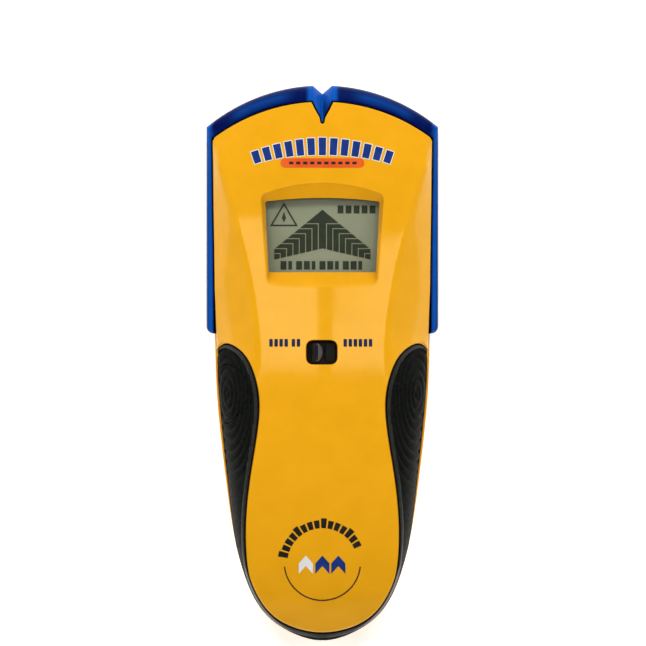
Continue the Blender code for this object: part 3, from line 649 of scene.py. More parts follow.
def make_materials():
    """Every finish, by the record's slot name or the name of a printed mark."""
    paints = [
        Paint("yellow_plastic", 0.08, IOR=1.5, Specular_Tint=(1.0, 0.85, 0.45, 1))
        .colour((0.84, 0.385, 0.008), (0.88, 0.405, 0.010), 9).gloss(0.05, 0.09, 3).bump(0.25, 0.0004),
        painted_glow_blue(),
        Paint("black_rubber", 0.6, IOR=1.5, Specular_IOR_Level=0.02)
        .colour((0.006, 0.007, 0.0055), (0.010, 0.011, 0.009), 1.2).gloss(0.48, 0.62, 1.5).bump(0.18, 0.012),
        # the grip's bead: smoother, glossier rubber, with a lighter base colour that is a painted highlight
        Paint("smooth_rubber_highlight", 0.36, IOR=1.5, Specular_IOR_Level=0.25)
        .colour((0.018, 0.019, 0.017), (0.026, 0.027, 0.024), 1.6).bump(0.4, 0.004),
        Paint("black_plastic", 0.38, IOR=1.5)
        .colour((0.012, 0.012, 0.013), (0.018, 0.018, 0.019), 2.5).bump(0.2, 0.008),
        Paint("grey_highlight", 0.4, IOR=1.5)
        .colour((0.07, 0.07, 0.072), (0.10, 0.10, 0.103), 2.5).bump(0.2, 0.008),
        Paint("clear_window", 0.03, IOR=1.49, Alpha=0.10)
        .colour((0.012, 0.012, 0.011), (0.02, 0.02, 0.018), 8),
        Paint("display_glass", 0.25, IOR=1.5)
        .colour((0.40, 0.435, 0.29), (0.44, 0.475, 0.32), 12).bump(0.3, 0.001),
        Paint("display_segment", 0.3, IOR=1.5)
        .colour((0.042, 0.056, 0.032), (0.052, 0.066, 0.038), 3),
        Paint("white_diffuser", 0.5).colour((0.74, 0.74, 0.72), (0.8, 0.8, 0.78), 5),
        Paint("green_board", 0.35, IOR=1.5, Coat_Weight=0.3)
        .colour((0.008, 0.085, 0.028), (0.015, 0.13, 0.045), 1.4, 6.0, (0.46, 0.54)).bump(0.8, 0.02),
        Paint("chip_plastic", 0.55).colour((0.018, 0.018, 0.02), (0.03, 0.03, 0.033), 0.8)
        .bump(0.15, 0.01),
        Paint("plated_steel", 0.3, 1.0).colour((0.5, 0.5, 0.49), (0.62, 0.62, 0.6), 1.5)
        .gloss(0.24, 0.38, 0.8).bump(0.3, 0.004, 1.0, (1, 1, 6)),
        Paint("brass_contact", 0.3, 1.0).colour((0.6, 0.42, 0.15), (0.7, 0.5, 0.2), 2)
        .gloss(0.24, 0.36, 1.0),
        Paint("aluminium_can", 0.34, 1.0).colour((0.66, 0.67, 0.69), (0.75, 0.76, 0.78), 2)
        .bump(0.3, 0.004, 1.0, (1, 1, 8)),
        Paint("battery_jacket", 0.32, 0.4)
        .colour((0.03, 0.035, 0.05), (0.045, 0.05, 0.07), 6).gloss(0.28, 0.38, 4),
        Paint("red_insulation", 0.38).colour((0.42, 0.008, 0.008), (0.52, 0.012, 0.01), 2),
        Paint("black_insulation", 0.38).colour((0.012,) * 3, (0.02,) * 3, 2),
        Paint("grey_foam", 0.9).colour((0.05,) * 3, (0.1,) * 3, 0.4).bump(0.35, 0.12),
        Paint("print_navy", 0.4, Specular_IOR_Level=0.2)
        .colour((0.009, 0.030, 0.17), (0.014, 0.042, 0.23), 4),
        Paint("print_ink", 0.4, Specular_IOR_Level=0.2)
        .colour((0.012, 0.018, 0.06), (0.018, 0.026, 0.085), 4),
        Paint("print_white", 0.3).colour((0.78, 0.78, 0.76), (0.84, 0.84, 0.82), 4),
        Paint("print_orange", 0.3).colour((0.74, 0.085, 0.012), (0.82, 0.12, 0.016), 5),
        Paint("print_black", 0.3).colour((0.014, 0.013, 0.012), (0.022, 0.02, 0.018), 4),
    ]
    return {paint.name: paint.material for paint in paints}


FINISH = make_materials()
NODE_FINISH = {part["node"]: part["material_slot"] for part in frame["record"]["subparts"]}
EDGE_ROUND = 0.12


def dress_frame():
    """Give each node of the frame its finish, and fine round edges."""
    for name, node in frame["nodes"].items():
        node.data.materials.clear()
        node.data.materials.append(FINISH[NODE_FINISH[name]])
        edge = node.modifiers.new("edges", "BEVEL")
        edge.width = EDGE_ROUND * MM
        edge.segments = 2
        edge.limit_method = "ANGLE"
        edge.angle_limit = math.radians(40)
        node.data.shade_smooth()


# ---------------------------------------------------------------- yellow cover

def wedge_half(depth):
    """Half width of the pointer wedge, by how far down it from 0 to 1."""
    return WEDGE_HALF * np.interp(depth, *zip(*WEDGE_SHAPE))


def tongue_right(count=240):
    """The grip's inner edge on the right side, from the side of the casing to the tail."""
    reach = cover_half(TONGUE[:, 1])
    first = int(np.argmax(TONGUE[:, 0] < reach))
    start = np.array([[cover_half(TONGUE[first, 1]), TONGUE[first, 1]]])
    return even(np.vstack((start, TONGUE[first + 1:])), count)


def cover_outline():
    """The cover's plan, anticlockwise from the tail, and each point's border radius."""
    tongue = tongue_right()[::-1]
    y = np.linspace(tongue[-1, 1], HEAD_CORNER[1] - 0.8, 70)[1:]
    side = np.column_stack((cover_half(y), y))
    x = np.linspace(HEAD_CORNER[0] - 0.7, WEDGE_HALF + SEAM, 60)
    arch = np.column_stack((x, HEAD_END - arc_drop(x)))
    depth = np.linspace(0, 1, 20)[1:]
    cut = np.column_stack((wedge_half(depth) + SEAM * np.minimum(1, (1 - depth) * 8),
                           arch[-1, 1] + (WEDGE_TIP - SEAM - arch[-1, 1]) * depth))
    right = np.vstack((tongue, side, arch, cut))
    radius = np.where(right[:, 1] > BEZEL_FOOT, HEAD_EDGE, COVER_EDGE)
    spike = np.linalg.norm(right - tongue[-1], axis=1)
    radius = np.minimum(radius, 0.08 + 0.12 * spike)
    left = right[-2:0:-1] * (-1, 1)
    return np.vstack((right, left)), np.concatenate((radius, radius[-2:0:-1]))


def cover_foot(outline, z):
    """The cover ends at the parting line on its sides, and in a short wall where the grip covers it."""
    at_side = np.abs(outline[:, 0]) > cover_half(outline[:, 1]) - 0.1
    at_head = outline[:, 1] > BEZEL_FOOT - 0.3
    return np.where(at_head, HEAD_FOOT, np.where(at_side, COVER_FOOT, z - TONGUE_WALL))


def well_skirts():
    """From the display's rim down its sloping walls to the ledge over the window."""
    ledge = panel_outline(**DISPLAY_VIEW)[::-1]

    def slope(share):
        def skirt(outline, z, out):
            run = ledge - outline
            length = np.maximum(np.linalg.norm(run, axis=1), 0.01)[:, None]
            turned = np.hstack((run / length * (z - LEDGE)[:, None], length))
            turned /= np.linalg.norm(turned, axis=1)[:, None]
            return np.column_stack((outline + run * share, z + (LEDGE + LEDGE_LIP - z) * share)), turned
        return skirt

    def drop(outline, z, out):
        return at_height(ledge, LEDGE), at_height(outward(ledge)[0], 0)

    return [slope(0.03), slope(0.97), drop]


def cover_wall(points):
    """Thickness of the cover, thinner in its pointed corners beside the grips."""
    corner = tongue_right()[0]
    reach = np.hypot(np.abs(points[:, 0]) - corner[0], points[:, 1] - corner[1])
    return np.minimum(COVER_WALL, 0.05 + 0.3 * reach)


def front_cover():
    outline, radius = cover_outline()
    knob_skirt = wall_to(lambda outline, z: z - KNOB_WALL)
    loops = [
        dict(outline=outline, radius=radius, skirts=[wall_to(cover_foot)]),
        dict(outline=panel_outline(**DISPLAY_RIM)[::-1], skirts=well_skirts(), **WELL_EDGE),
        dict(outline=panel_outline(**KNOB_WINDOW)[::-1], radius=0.3, skirts=[knob_skirt]),
    ]
    cover = skin("cover_shell", loops, front, 1.0, FINISH["yellow_plastic"], cover_wall)
    settle(cover, "casing", "front_cover")


def cover_sill():
    """The strip of the cover that runs below the grips and round the tail."""
    side = SIDE[SIDE[:, 1] < tongue_right()[0, 1] + 1.5]
    outer = np.column_stack((cover_half(side[:, 1]), side[:, 1]))
    outer[-1, 0] = 0
    outer = np.vstack((outer, (outer * (-1, 1))[-2::-1]))
    section = [(0.15, COVER_FOOT), (0, COVER_FOOT + 0.15), (0, SILL_TOP - 0.2), (0.2, SILL_TOP),
               (SILL_WIDTH, SILL_TOP), (SILL_WIDTH, COVER_FOOT)]
    rings = [np.array([(*(place + into * depth), z) for depth, z in section])
             for place, into in zip(outer, left_of(outer) * -1)]
    sill = loft("cover_sill", rings, FINISH["yellow_plastic"])
    smooth_by_angle(sill, 40)
    settle(sill, "casing")


def left_of(line):
    """Unit vectors to the left of an open line's run."""
    along = np.gradient(line, axis=0)
    along /= np.linalg.norm(along, axis=1)[:, None]
    return np.column_stack((-along[:, 1], along[:, 0]))


# ---------------------------------------------------------------- rubber grip and power button

GRIP_FOOT = 11.9
GRIP_WALL = 1.5
BEAD_WIDTH = 1.7
RIDGE_PITCH = 1.25
RIDGE_DEPTH = 0.62
RIDGE_CENTRE = (31.5, -10.0)
RIDGE_STRETCH = 2.75
RIDGE_END = -44               # the ridges have faded out here
RIDGE_FADE = 14
BUTTON_CENTRE = (-10.0, 20.4)
BUTTON_HALF = (9.5, 7.6)
BUTTON_GAP = 0.3


def grip_plan(rows, columns):
    """Plan points of the right grip: rows from its top to the tail, columns from inner edge to outer edge."""
    tongue = tongue_right(600)
    tongue = tongue + left_of(tongue) * SEAM
    side = even(SIDE[SIDE[:, 1] < tongue[0, 1] + 0.2], 600)
    places = np.linspace(0, 1, 600)
    share = np.linspace(0.012, 1, rows)
    inner = np.column_stack([np.interp(share, places, tongue[:, axis]) for axis in (0, 1)])
    reach = np.interp(share, [0, 0.08, 0.2, 0.34, 1], [0, 0.028, 0.13, 0.28, 1])
    outer = np.column_stack([np.interp(reach, places, side[:, axis]) for axis in (0, 1)])
    outer[:, 0] = np.minimum(outer[:, 0], np.maximum(cover_half(outer[:, 1]), 0))
    across = np.sin(np.linspace(0, math.pi / 2, columns)) ** 1.15
    return inner[:, None] + (outer - inner)[:, None] * across[None, :, None]


def grip_relief(x, y, inset):
    """How far the rubber stands off the casing's surface: rim bead, and nested oval ridges inside it."""
    edge = np.clip(inset / 0.55, 0, 1)
    bead = -0.85 + 0.8 * np.sqrt(np.clip(1 - (1 - edge) ** 2, 0, 1))
    beyond = smooth_step((inset - BEAD_WIDTH + 0.35) / 0.5)
    oval = np.hypot(x - RIDGE_CENTRE[0], (y - RIDGE_CENTRE[1]) / RIDGE_STRETCH)
    ridge = np.abs(np.cos(math.pi * oval / RIDGE_PITCH)) ** 0.7 - 1
    fade = smooth_step((y - RIDGE_END) / RIDGE_FADE) * smooth_step((inset - BEAD_WIDTH) / 0.6)
    return bead - 0.28 * beyond + RIDGE_DEPTH * ridge * fade


def grip_solid(name, rows=430, columns=64):
    """The whole rubber moulding: right side, tail and left side, as one closed wall."""
    plan = grip_plan(rows, columns)
    x, y = plan.reshape(-1, 2).T
    base = np.column_stack((x, y, front(x, y))).reshape(rows, columns, 3)
    normal = normal_of(front, x, y).reshape(rows, columns, 3)
    inset = np.linalg.norm(plan - plan[:, :1], axis=2)
    relief = grip_relief(plan[:, :, 0], plan[:, :, 1], inset)
    relief *= smooth_step((base[:, :, 2] - GRIP_RIM) / 1.5) * 0.999 + 0.001
    outer = base + normal * relief[:, :, None]
    foot = outer[:, -1:].copy()
    foot[:, :, 2] = GRIP_FOOT
    behind = (base - normal * GRIP_WALL)[:, columns - 2:0:-3]
    behind[:, :, 2] = np.maximum(behind[:, :, 2], GRIP_FOOT + 0.3)
    inner_foot = behind[:, :1].copy()
    inner_foot[:, :, 2] = GRIP_FOOT
    lip = outer[:, :1].copy()
    lip[:, :, 2] -= 0.9
    ring = np.concatenate((lip, outer, foot, inner_foot, behind), axis=1)
    ring = np.concatenate((ring, ring[-2::-1] * (-1, 1, 1)))
    grip = loft(name, list(ring), FINISH["black_rubber"])
    grip.data.materials.append(FINISH["smooth_rubber_highlight"])
    reach = np.zeros(ring.shape[:2])
    reach[:, 1:columns + 1] = np.concatenate((inset, inset[-2::-1]))
    # the bead's faces take the smooth rubber, whose lighter colour is a painted highlight
    smooth = ((reach > 0.25) & (reach < BEAD_WIDTH - 0.1)).ravel()
    for face in grip.data.polygons:
        face.material_index = int(all(smooth[i] for i in face.vertices))
    return grip


def oval_prism(clearance, sides=96, low=-45, high=-17):
    """The power button's oval, carried along X."""
    oval = np.array(BUTTON_CENTRE) + circle(1, sides) * (np.array(BUTTON_HALF) + clearance)
    return loft("oval_prism", [upright(x, oval) for x in (low, high)], FINISH["black_rubber"])


def grips():
    grip, button = grip_solid("grip_rubber"), grip_solid("power_key")
    boolean(grip, oval_prism(BUTTON_GAP))
    boolean(button, oval_prism(0), "INTERSECT")
    for piece, body, node in ((grip, "casing", "grip_overmould"), (button, "power_key", "power_button")):
        smooth_by_angle(piece, 50)
        settle(piece, body, node)


# ---------------------------------------------------------------- light bezel

BEZEL_FOOT_ROUND = 2.4
BEZEL_SHOULDER = 10.3         # the profile above this is lifted to follow the cover's edge
BEZEL_TOP = 14.2
BEZEL_HIGHEST = 16.4
BEZEL_FLANGE = 1.2            # how far it reaches in under the cover's edge
# sections from the outer side to the inner side: share of the width, height, and share of the flange
BEZEL_UNDER = [(1.0, 10.3, 0), (1.0, 10.2, 1), (1.0, 8.6, 1), (0.6, 7.6, 0), (0.45, 4.6, 0), (0.08, 4.6, 0),
               (0.02, 4.8, 0)]
ARCH_SECTION = [(0.0, 5.4, 0), (0.0, 10.9, 0), (0.05, 11.7, 0), (0.16, 12.3, 0), (0.46, 13.2, 0),
                (0.76, 13.9, 0), (0.90, 14.15, 0), (0.97, 14.1, 0), (1.0, 13.6, 0)] + BEZEL_UNDER
SIDE_SECTION = [(0.0, 5.4, 0), (0.0, 11.6, 0), (0.05, 12.3, 0), (0.16, 12.9, 0), (0.46, 13.5, 0),
                (0.76, 14.0, 0), (0.90, 14.2, 0), (0.97, 14.15, 0), (1.0, 13.6, 0)] + BEZEL_UNDER
NOTCH_SECTION = [(0.0, 5.4, 0), (0.0, 10.9, 0), (0.03, 11.2, 0), (0.2, 11.8, 0), (0.46, 12.7, 0),
                 (0.76, 13.8, 0), (0.90, 14.2, 0), (0.97, 14.2, 0), (1.0, 13.8, 0)] + BEZEL_UNDER
# strengths of the bezel's painted glow, and of the painted shade on the wedge's right half
STREAK_GLOW = 0.40
SIDE_GLOW = 0.85
CORNER_GLOW = 0.8
NOTCH_GLOW = 0.95
WEDGE_PAINTED_SHADE = 0.8             # painted shade: how much darker the right half of the wedge is
# how far down the notch each section across it is
NOTCH_STEPS = (1, 0.985, 0.965, 0.94, 0.9, 0.85, 0.8, 0.7, 0.6, 0.5, 0.4, 0.3, 0.2, 0.1)


def bezel_stations():
    """Outer and inner plan points down the right side, from the notch on, and how deep in the notch."""
    notch_y = BEZEL_END - arc_drop(NOTCH_HALF)
    inner_end = HEAD_END + SEAM
    corner = HEAD_CORNER[0] + SEAM
    stations = []
    for depth in NOTCH_STEPS:
        outer = (NOTCH_HALF * (1 - depth), notch_y - (NOTCH_DEPTH - arc_drop(NOTCH_HALF)) * depth)
        inner = (float(wedge_half(depth)), inner_end + (WEDGE_TIP - inner_end) * depth)
        stations.append((outer, inner, depth))
    for share in np.linspace(0, 1, 50):
        x = NOTCH_HALF + (BEZEL_HALF - NOTCH_HALF) * share
        inner_x = WEDGE_HALF + (corner - WEDGE_HALF) * share
        inner = (inner_x, inner_end - arc_drop(min(inner_x, corner - 0.3)))
        stations.append(((x, BEZEL_END - arc_drop(x)), inner, 0))
    top, inner_top = stations[-1][0][1], stations[-1][1][1]
    foot = BEZEL_FOOT + BEZEL_FOOT_ROUND
    for share in np.linspace(0, 1, 40)[1:]:
        y = inner_top + (foot - inner_top) * share
        stations.append(((BEZEL_HALF, top + (foot - top) * share), (side_half(y) + SEAM, y), 0))
    for turn in np.linspace(0, math.pi / 2, 7)[1:]:
        y = BEZEL_FOOT + BEZEL_FOOT_ROUND * (1 - math.sin(turn))
        x = BEZEL_HALF - BEZEL_FOOT_ROUND * (1 - math.cos(turn))
        stations.append(((x, y), (side_half(y) + SEAM, y), 0))
    return [(np.array(outer, float), np.array(inner, float), depth) for outer, inner, depth in stations]


def bezel_glow(points, share):
    """How much painted glow each point gets: lighter streaks on the arch, the sides, the corners and the
    notch.
    """
    x, y = np.abs(points[:, 0]), points[:, 1]
    streak = STREAK_GLOW * soft_band(share, 0.1, 0.25, 0.9, 0.3) * soft_band(x, 8, 7, 32, 6)
    side = SIDE_GLOW * soft_band(share, 0.03, 0.28, 0.98, 0.3) * smooth_step((76 - y) / 2)
    corner = CORNER_GLOW * smooth_step((x - 35.6) / 1.6) * smooth_step((y - 70) / 5)
    notch = NOTCH_GLOW * smooth_step((5.6 - x) / 1.6)
    # painted shade: the wedge's right half gets less glow
    notch *= 1 - WEDGE_PAINTED_SHADE * smooth_step(points[:, 0] / 0.6) * smooth_step((86.4 - y) / 1.2)
    return np.maximum.reduce((streak, side, corner, notch))


def light_bezel():
    arch, notch, side = (np.array(section) for section in (ARCH_SECTION, NOTCH_SECTION, SIDE_SECTION))
    rings = []
    for outer, inner, depth in bezel_stations():
        section = arch + (notch - arch) * depth + (side - arch) * smooth_step((outer[0] - 30) / 8)
        along = (inner - outer) / np.linalg.norm(inner - outer)
        flange = BEZEL_FLANGE * (1 - 0.5 * depth)
        plan = outer + (inner - outer) * section[:, :1] + along * flange * section[:, 2:]
        cover_edge = float(front(inner[0], inner[1] - 0.6)) - 0.3
        lift = max(0.0, min(cover_edge, BEZEL_HIGHEST) - BEZEL_TOP)
        share = np.clip((section[:, 1] - BEZEL_SHOULDER) / (BEZEL_TOP - BEZEL_SHOULDER), 0, 1)
        rings.append(np.column_stack((plan, section[:, 1] + lift * share)))
    rings = rings[::-1] + [ring * (-1, 1, 1) for ring in rings[1:]]
    bezel = loft("light_bezel_shell", rings, FINISH["blue_translucent"])
    # painted glow: an attribute that lightens the blue's base colour
    glow = bezel.data.attributes.new("glow", "FLOAT", "POINT")
    places = np.array([vertex.co for vertex in bezel.data.vertices]) / MM
    glow.data.foreach_set("value", bezel_glow(places, np.tile(arch[:, 0], len(rings))))
    smooth_by_angle(bezel, 24)
    settle(bezel, "casing", "light_bezel")
    # painted shade: a black dome stands for the dark hollow of the pointer dimple
    dimple_shade = dome_at("pointer_dimple", (0, WEDGE_TIP + 0.45), 0.36, BEZEL_HIGHEST - 0.3, 0.4,
                  FINISH["print_black"])
    settle(dimple_shade, "casing")


# ---------------------------------------------------------------- rear case and battery door

PARTING = 9.7
HEAD_PARTING = 8.2
CASE_WALL = 2.2
CASE_FLOOR = 2.8
BACK_ROUND = 3.6
SCREW_SEAT = (3.0, 1.95)      # radius and depth of each case screw's recess
CUT_LOW = -5                  # cutters reach from below the back to above the parting line
CUT_HIGH = 12
DOOR_HALF = 15.9
DOOR_GAP = 0.3
HINGE_GAP = 0.7               # wider, so that the edge at the hinge can swing
TAB_GAP = 0.4
DOOR_TAB = (6.0, 2.3)         # half width and reach of the finger tab
PIN_RADIUS = 0.85
PIN_SEAT = dict(middle=16.3, half=1.45, reach=1.2, floor=0.5)
RIB_COUNT = 5
RIB_PITCH = 2.1
RIB_HALF = (9, 0.45)          # half length and half width of each finger rib


def case_ring(inset):
    """The rear case's plan, anticlockwise from the tail, moved in by an inset."""
    x = np.linspace(HEAD_CORNER[0], 0, 60)[1:]
    arch = np.column_stack((x, HEAD_END - arc_drop(x)))
    right = np.vstack((SIDE[::-1][::3], arch))
    return moved_out(np.vstack((right, right[-2:0:-1] * (-1, 1))), -inset)


def rear_case():
    rings = [at_height(case_ring(BACK_ROUND * (1 - math.sin(tilt))), BACK_ROUND * (1 - math.cos(tilt)))
             for tilt in np.linspace(0, math.pi / 2, 8)]
    outer = case_ring(0)
    top = np.where(outer[:, 1] > BEZEL_FOOT - 0.6, HEAD_PARTING, PARTING)
    inner = case_ring(CASE_WALL)
    rings += [np.column_stack((outer, top - 0.25)), np.column_stack((case_ring(0.25), top)),
              np.column_stack((inner, top)), at_height(inner, CASE_FLOOR + 0.6),
              at_height(case_ring(CASE_WALL + 0.6), CASE_FLOOR)]
    case = loft("rear_shell", rings, FINISH["yellow_plastic"])
    for cutter in door_cutters() + screw_cutters():
        boolean(case, cutter)
    smooth_by_angle(case, 40)
    settle(case, "casing", "rear_case")


def door_cutters():
    """The door's opening, the cut for its finger tab, and a seat for each hinge pin."""
    low, high = box_mm("battery_door")
    foot = low.y + DOOR_TAB[1]
    half, tab = DOOR_HALF + DOOR_GAP, DOOR_TAB[0] + TAB_GAP
    areas = [(-half, half, foot - DOOR_GAP, high.y + HINGE_GAP, CUT_LOW),
             (-tab, tab, low.y - TAB_GAP, foot + 2.1, CUT_LOW)]
    axis, reach = hinge_axis(), PIN_SEAT["reach"]
    for middle in (-PIN_SEAT["middle"], PIN_SEAT["middle"]):
        areas.append((middle - PIN_SEAT["half"], middle + PIN_SEAT["half"], axis.y - reach, axis.y + reach,
                      PIN_SEAT["floor"]))
    cutters = []
    for left, right, back, ahead, floor in areas:
        corners = np.array([(left, back), (right, back), (right, ahead), (left, ahead)])
        cutters.append(prism("opening", corners, floor, CUT_HIGH, FINISH["yellow_plastic"]))
    return cutters


def screw_cutters():
    """A round recess below each case screw."""
    radius, depth = SCREW_SEAT
    round_hole = circle(radius, 40)
    centres = [sum(box_mm(name), Vector()) / 2 for name in frame["nodes"] if name.startswith("case_screw")]
    return [prism("recess", round_hole + np.array(centre.xy), CUT_LOW, depth, FINISH["yellow_plastic"])
            for centre in centres]


def hinge_axis():
    """Where the door's hinge axis is."""
    hinge = next(joint for joint in frame["record"]["behaviour"]["joints"] if joint["name"] == "door_hinge")
    return Vector(hinge["pos_m"]) / MM


def battery_door():
    low, high = box_mm("battery_door")
    yellow = FINISH["yellow_plastic"]
    tab, foot = DOOR_TAB[0], low.y + DOOR_TAB[1]
    outline = np.array([(DOOR_HALF, high.y), (-DOOR_HALF, high.y), (-DOOR_HALF, foot), (-tab, foot),
                        (-tab, low.y), (tab, low.y), (tab, foot), (DOOR_HALF, foot)])
    plate = rounded_plate("door_plate", rounded(outline, 0.9), low.z, high.z, 0.3, yellow, under=0.35)
    settle(plate, "door", "battery_door")
    x, half = RIB_HALF
    for i in range(RIB_COUNT):
        y = foot + 4 + RIB_PITCH * i
        bar = rounded(np.array([(-x, y - half), (x, y - half), (x, y + half), (-x, y + half)]), 0.4)
        rib = rounded_plate(f"door_rib_{i + 1}", bar, low.z - 0.28, low.z + 0.2, 0.1, yellow, under=0.25)
        settle(rib, "door")
    axis = hinge_axis()
    stations = ((DOOR_HALF - 0.5, PIN_RADIUS), (high.x - 0.25, PIN_RADIUS), (high.x, PIN_RADIUS - 0.25))
    for side, name in ((-1, "left"), (1, "right")):
        rings = [upright(side * x, np.array(axis.yz) + circle(radius, 24)) for x, radius in stations]
        pin = loft(f"door_pin_{name}", rings, yellow)
        smooth_by_angle(pin, 50)
        settle(pin, "door")


# ---------------------------------------------------------------- battery and screws

# along the jacket from its end, and how far in its side is there: the rolled rim, and the seam of its label
JACKET_RIM = [(0, 1.4), (0, 0.5), (0.2, 0.12), (0.6, 0), (1.3, 0), (1.5, 0.25), (2.0, 0.25), (2.2, 0.05)]
JACKET_SEAM = [(12, 0.05), (12.2, 0.2), (12.5, 0.2), (12.7, 0.05)]
THREAD_PITCH = 0.9
THREAD_DEPTH = 0.3
HEAD_DOME = 0.45
RECESS_DEPTH = 0.95
CROSS_ARM = 0.62              # as shares of the head's radius
CROSS_HALF = 0.17


def battery():
    """A block battery: a jacket with rolled rims at both ends."""
    low, high = box_mm("battery_9v")
    section = rectangle(low.x, high.x, low.z, high.z, 2.6, 8)
    middle = section.mean(0)
    size = (section.max(0) - section.min(0)) / 2
    stations = [(low.y + along, inset) for along, inset in JACKET_RIM + JACKET_SEAM]
    stations += [(high.y - along, inset) for along, inset in JACKET_RIM[::-1]]
    rings = []
    for y, inset in stations:
        ring = middle + (section - middle) * (size - inset) / size
        rings.append(np.column_stack((ring[:, 0], np.full(len(ring), y), ring[:, 1])))
    jacket = loft("battery_jacket_shell", rings, FINISH["battery_jacket"])
    smooth_by_angle(jacket, 30)
    settle(jacket, "casing", "battery_9v")


def screw(name, sides=28):
    """A domed cross-head screw with a thread, in the place of a plain one."""
    node = frame["nodes"][name]
    low, high = box_mm(name)
    centre, head, length = (low + high) / 2, (high.x - low.x) / 2, high.z - low.z
    place = np.array([node.matrix_world @ vertex.co for vertex in node.data.vertices]) / MM
    radius = np.hypot(place[:, 0] - centre.x, place[:, 1] - centre.y)
    wide = place[radius > 0.9 * head, 2]
    shank = radius[radius < 0.8 * head].max()
    head_down = wide.min() - low.z < high.z - wide.max()
    thick = wide.max() - low.z if head_down else high.z - wide.min()

    def height(along):
        return low.z + along if head_down else high.z - along

    rows = [(head * math.sin(tilt), HEAD_DOME * (1 - math.cos(tilt)), 0)
            for tilt in np.linspace(0.25, math.pi / 2, 7)]
    rows += [(head, thick - 0.15, 0), (head - 0.15, thick, 0), (shank, thick, 0)]
    rows += [(shank, along, 1) for along in np.arange(thick + 0.2, length - 0.8, 0.2)]
    rows.append((shank * 0.55, length, 0))
    turn = np.linspace(0, 2 * math.pi, sides, endpoint=False)
    rings = []
    for reach, along, threaded in rows:
        wave = np.abs(((along / THREAD_PITCH - turn / (2 * math.pi)) % 1) - 0.5) * 2
        reach = reach - threaded * THREAD_DEPTH * wave
        ring = np.column_stack((centre.x + reach * np.cos(turn), centre.y + reach * np.sin(turn)))
        rings.append(at_height(ring, height(along)))
    made = loft(name + "_threaded", rings, FINISH["plated_steel"])
    arm, half = CROSS_ARM * head, CROSS_HALF * head
    quarters = [np.array([(arm, -half), (arm, half), (half, half)])]
    for _ in range(3):
        quarters.append(np.column_stack((-quarters[-1][:, 1], quarters[-1][:, 0])))
    ends = sorted((height(-0.2), height(RECESS_DEPTH)))
    boolean(made, prism("cross", np.vstack(quarters) + np.array(centre.xy), *ends, FINISH["plated_steel"]))
    smooth_by_angle(made, 35)
    settle(made, "casing", name)


# ---------------------------------------------------------------- mode switch knob

KNOB_PLATE = (23.2, 24.4)     # heights of the plate's faces
KNOB_FOOT = 20.6


def mode_knob():
    """A plate under the window with a ridge, a thumb rest and a low step on it, and a foot below."""
    low, high = box_mm("mode_knob")
    under, face = KNOB_PLATE
    root = face - 0.3
    plate = rounded_plate("knob_plate", rectangle(low.x, high.x, low.y, high.y, 1.0), under, face, 0.2,
                          FINISH["black_plastic"])
    settle(plate, "mode_slider", "mode_knob")
    black, grey = FINISH["black_plastic"], FINISH["grey_highlight"]
    for name, outline, foot, top, edge, finish, steps in (
            ("knob_ridge", rectangle(-3.3, -2.05, 0.5, 6.7, 0.4), root, high.z - 0.25, 0.35, black, 4),
            ("knob_thumb_rest", half_moon((-2.1, 3.6), 2.2, 3.1), root, high.z, 0.6, grey, 6),
            ("knob_step", rectangle(0.9, 4.2, 0.7, 6.5, 0.5), root, face + 0.7, 0.3, black, 4),
            ("knob_foot", rectangle(-4.2, 1.0, 1.0, 6.2, 0.3), KNOB_FOOT, under + 0.1, 0.1, black, 4)):
        piece = rounded_plate(name, outline, foot, top, edge, finish, steps=steps)
        settle(piece, "mode_slider")


def half_moon(place, depth, half, steps=24):
    """A D shape with its flat side to the left."""
    turn = np.linspace(-math.pi / 2, math.pi / 2, steps)
    return np.column_stack((place[0] + depth * np.cos(turn), place[1] + half * np.sin(turn)))


# ---------------------------------------------------------------- display graphics

SEGMENT_THICKNESS = 0.06
ROOF = dict(apex=50.3, fall=0.8165, half=15.8, foot_apex=37.65, foot_fall=0.234)
BAND_COUNT = 7
BAND_START = (1.34, 45.74)    # the first band's inner side and top
BAND_STEP = (2.08, 1.63)
BAND_GAP = 0.15               # half the light line between bands


def display_graphics():
    """The panel's dark segments: nested bands under a roof, a triangle with a diamond, and plain cells."""
    shapes = range_roof() + triangle_frame()
    shapes.append(np.array([(-12.6, 46.1), (-11.9, 47.6), (-12.6, 49.8), (-13.3, 47.6)]))
    shapes += [cell(5.0 + 2.62 * i, 49.1, 1.9, 2.6) for i in range(5)]
    shapes += [cell(-13.7 + 2.55 * i, 30.7, (1.95, 1.2)[i % 3 == 1], 2.8) for i in range(11)]
    low = box_mm("lcd_panel")[1].z + 0.03
    points, faces = [], []
    for shape in map(anticlockwise, shapes):
        start, count = len(points), len(shape)
        points += [(x, y, z) for z in (low, low + SEGMENT_THICKNESS) for x, y in shape]
        faces.append([start + i for i in reversed(range(count))])
        faces.append([start + count + i for i in range(count)])
        faces += [[start + i for i in side] for side in strip(2, count)]
    segments = piece_from("display_segments", points, faces, FINISH["display_segment"])
    segments.data.shade_flat()
    settle(segments, "casing")


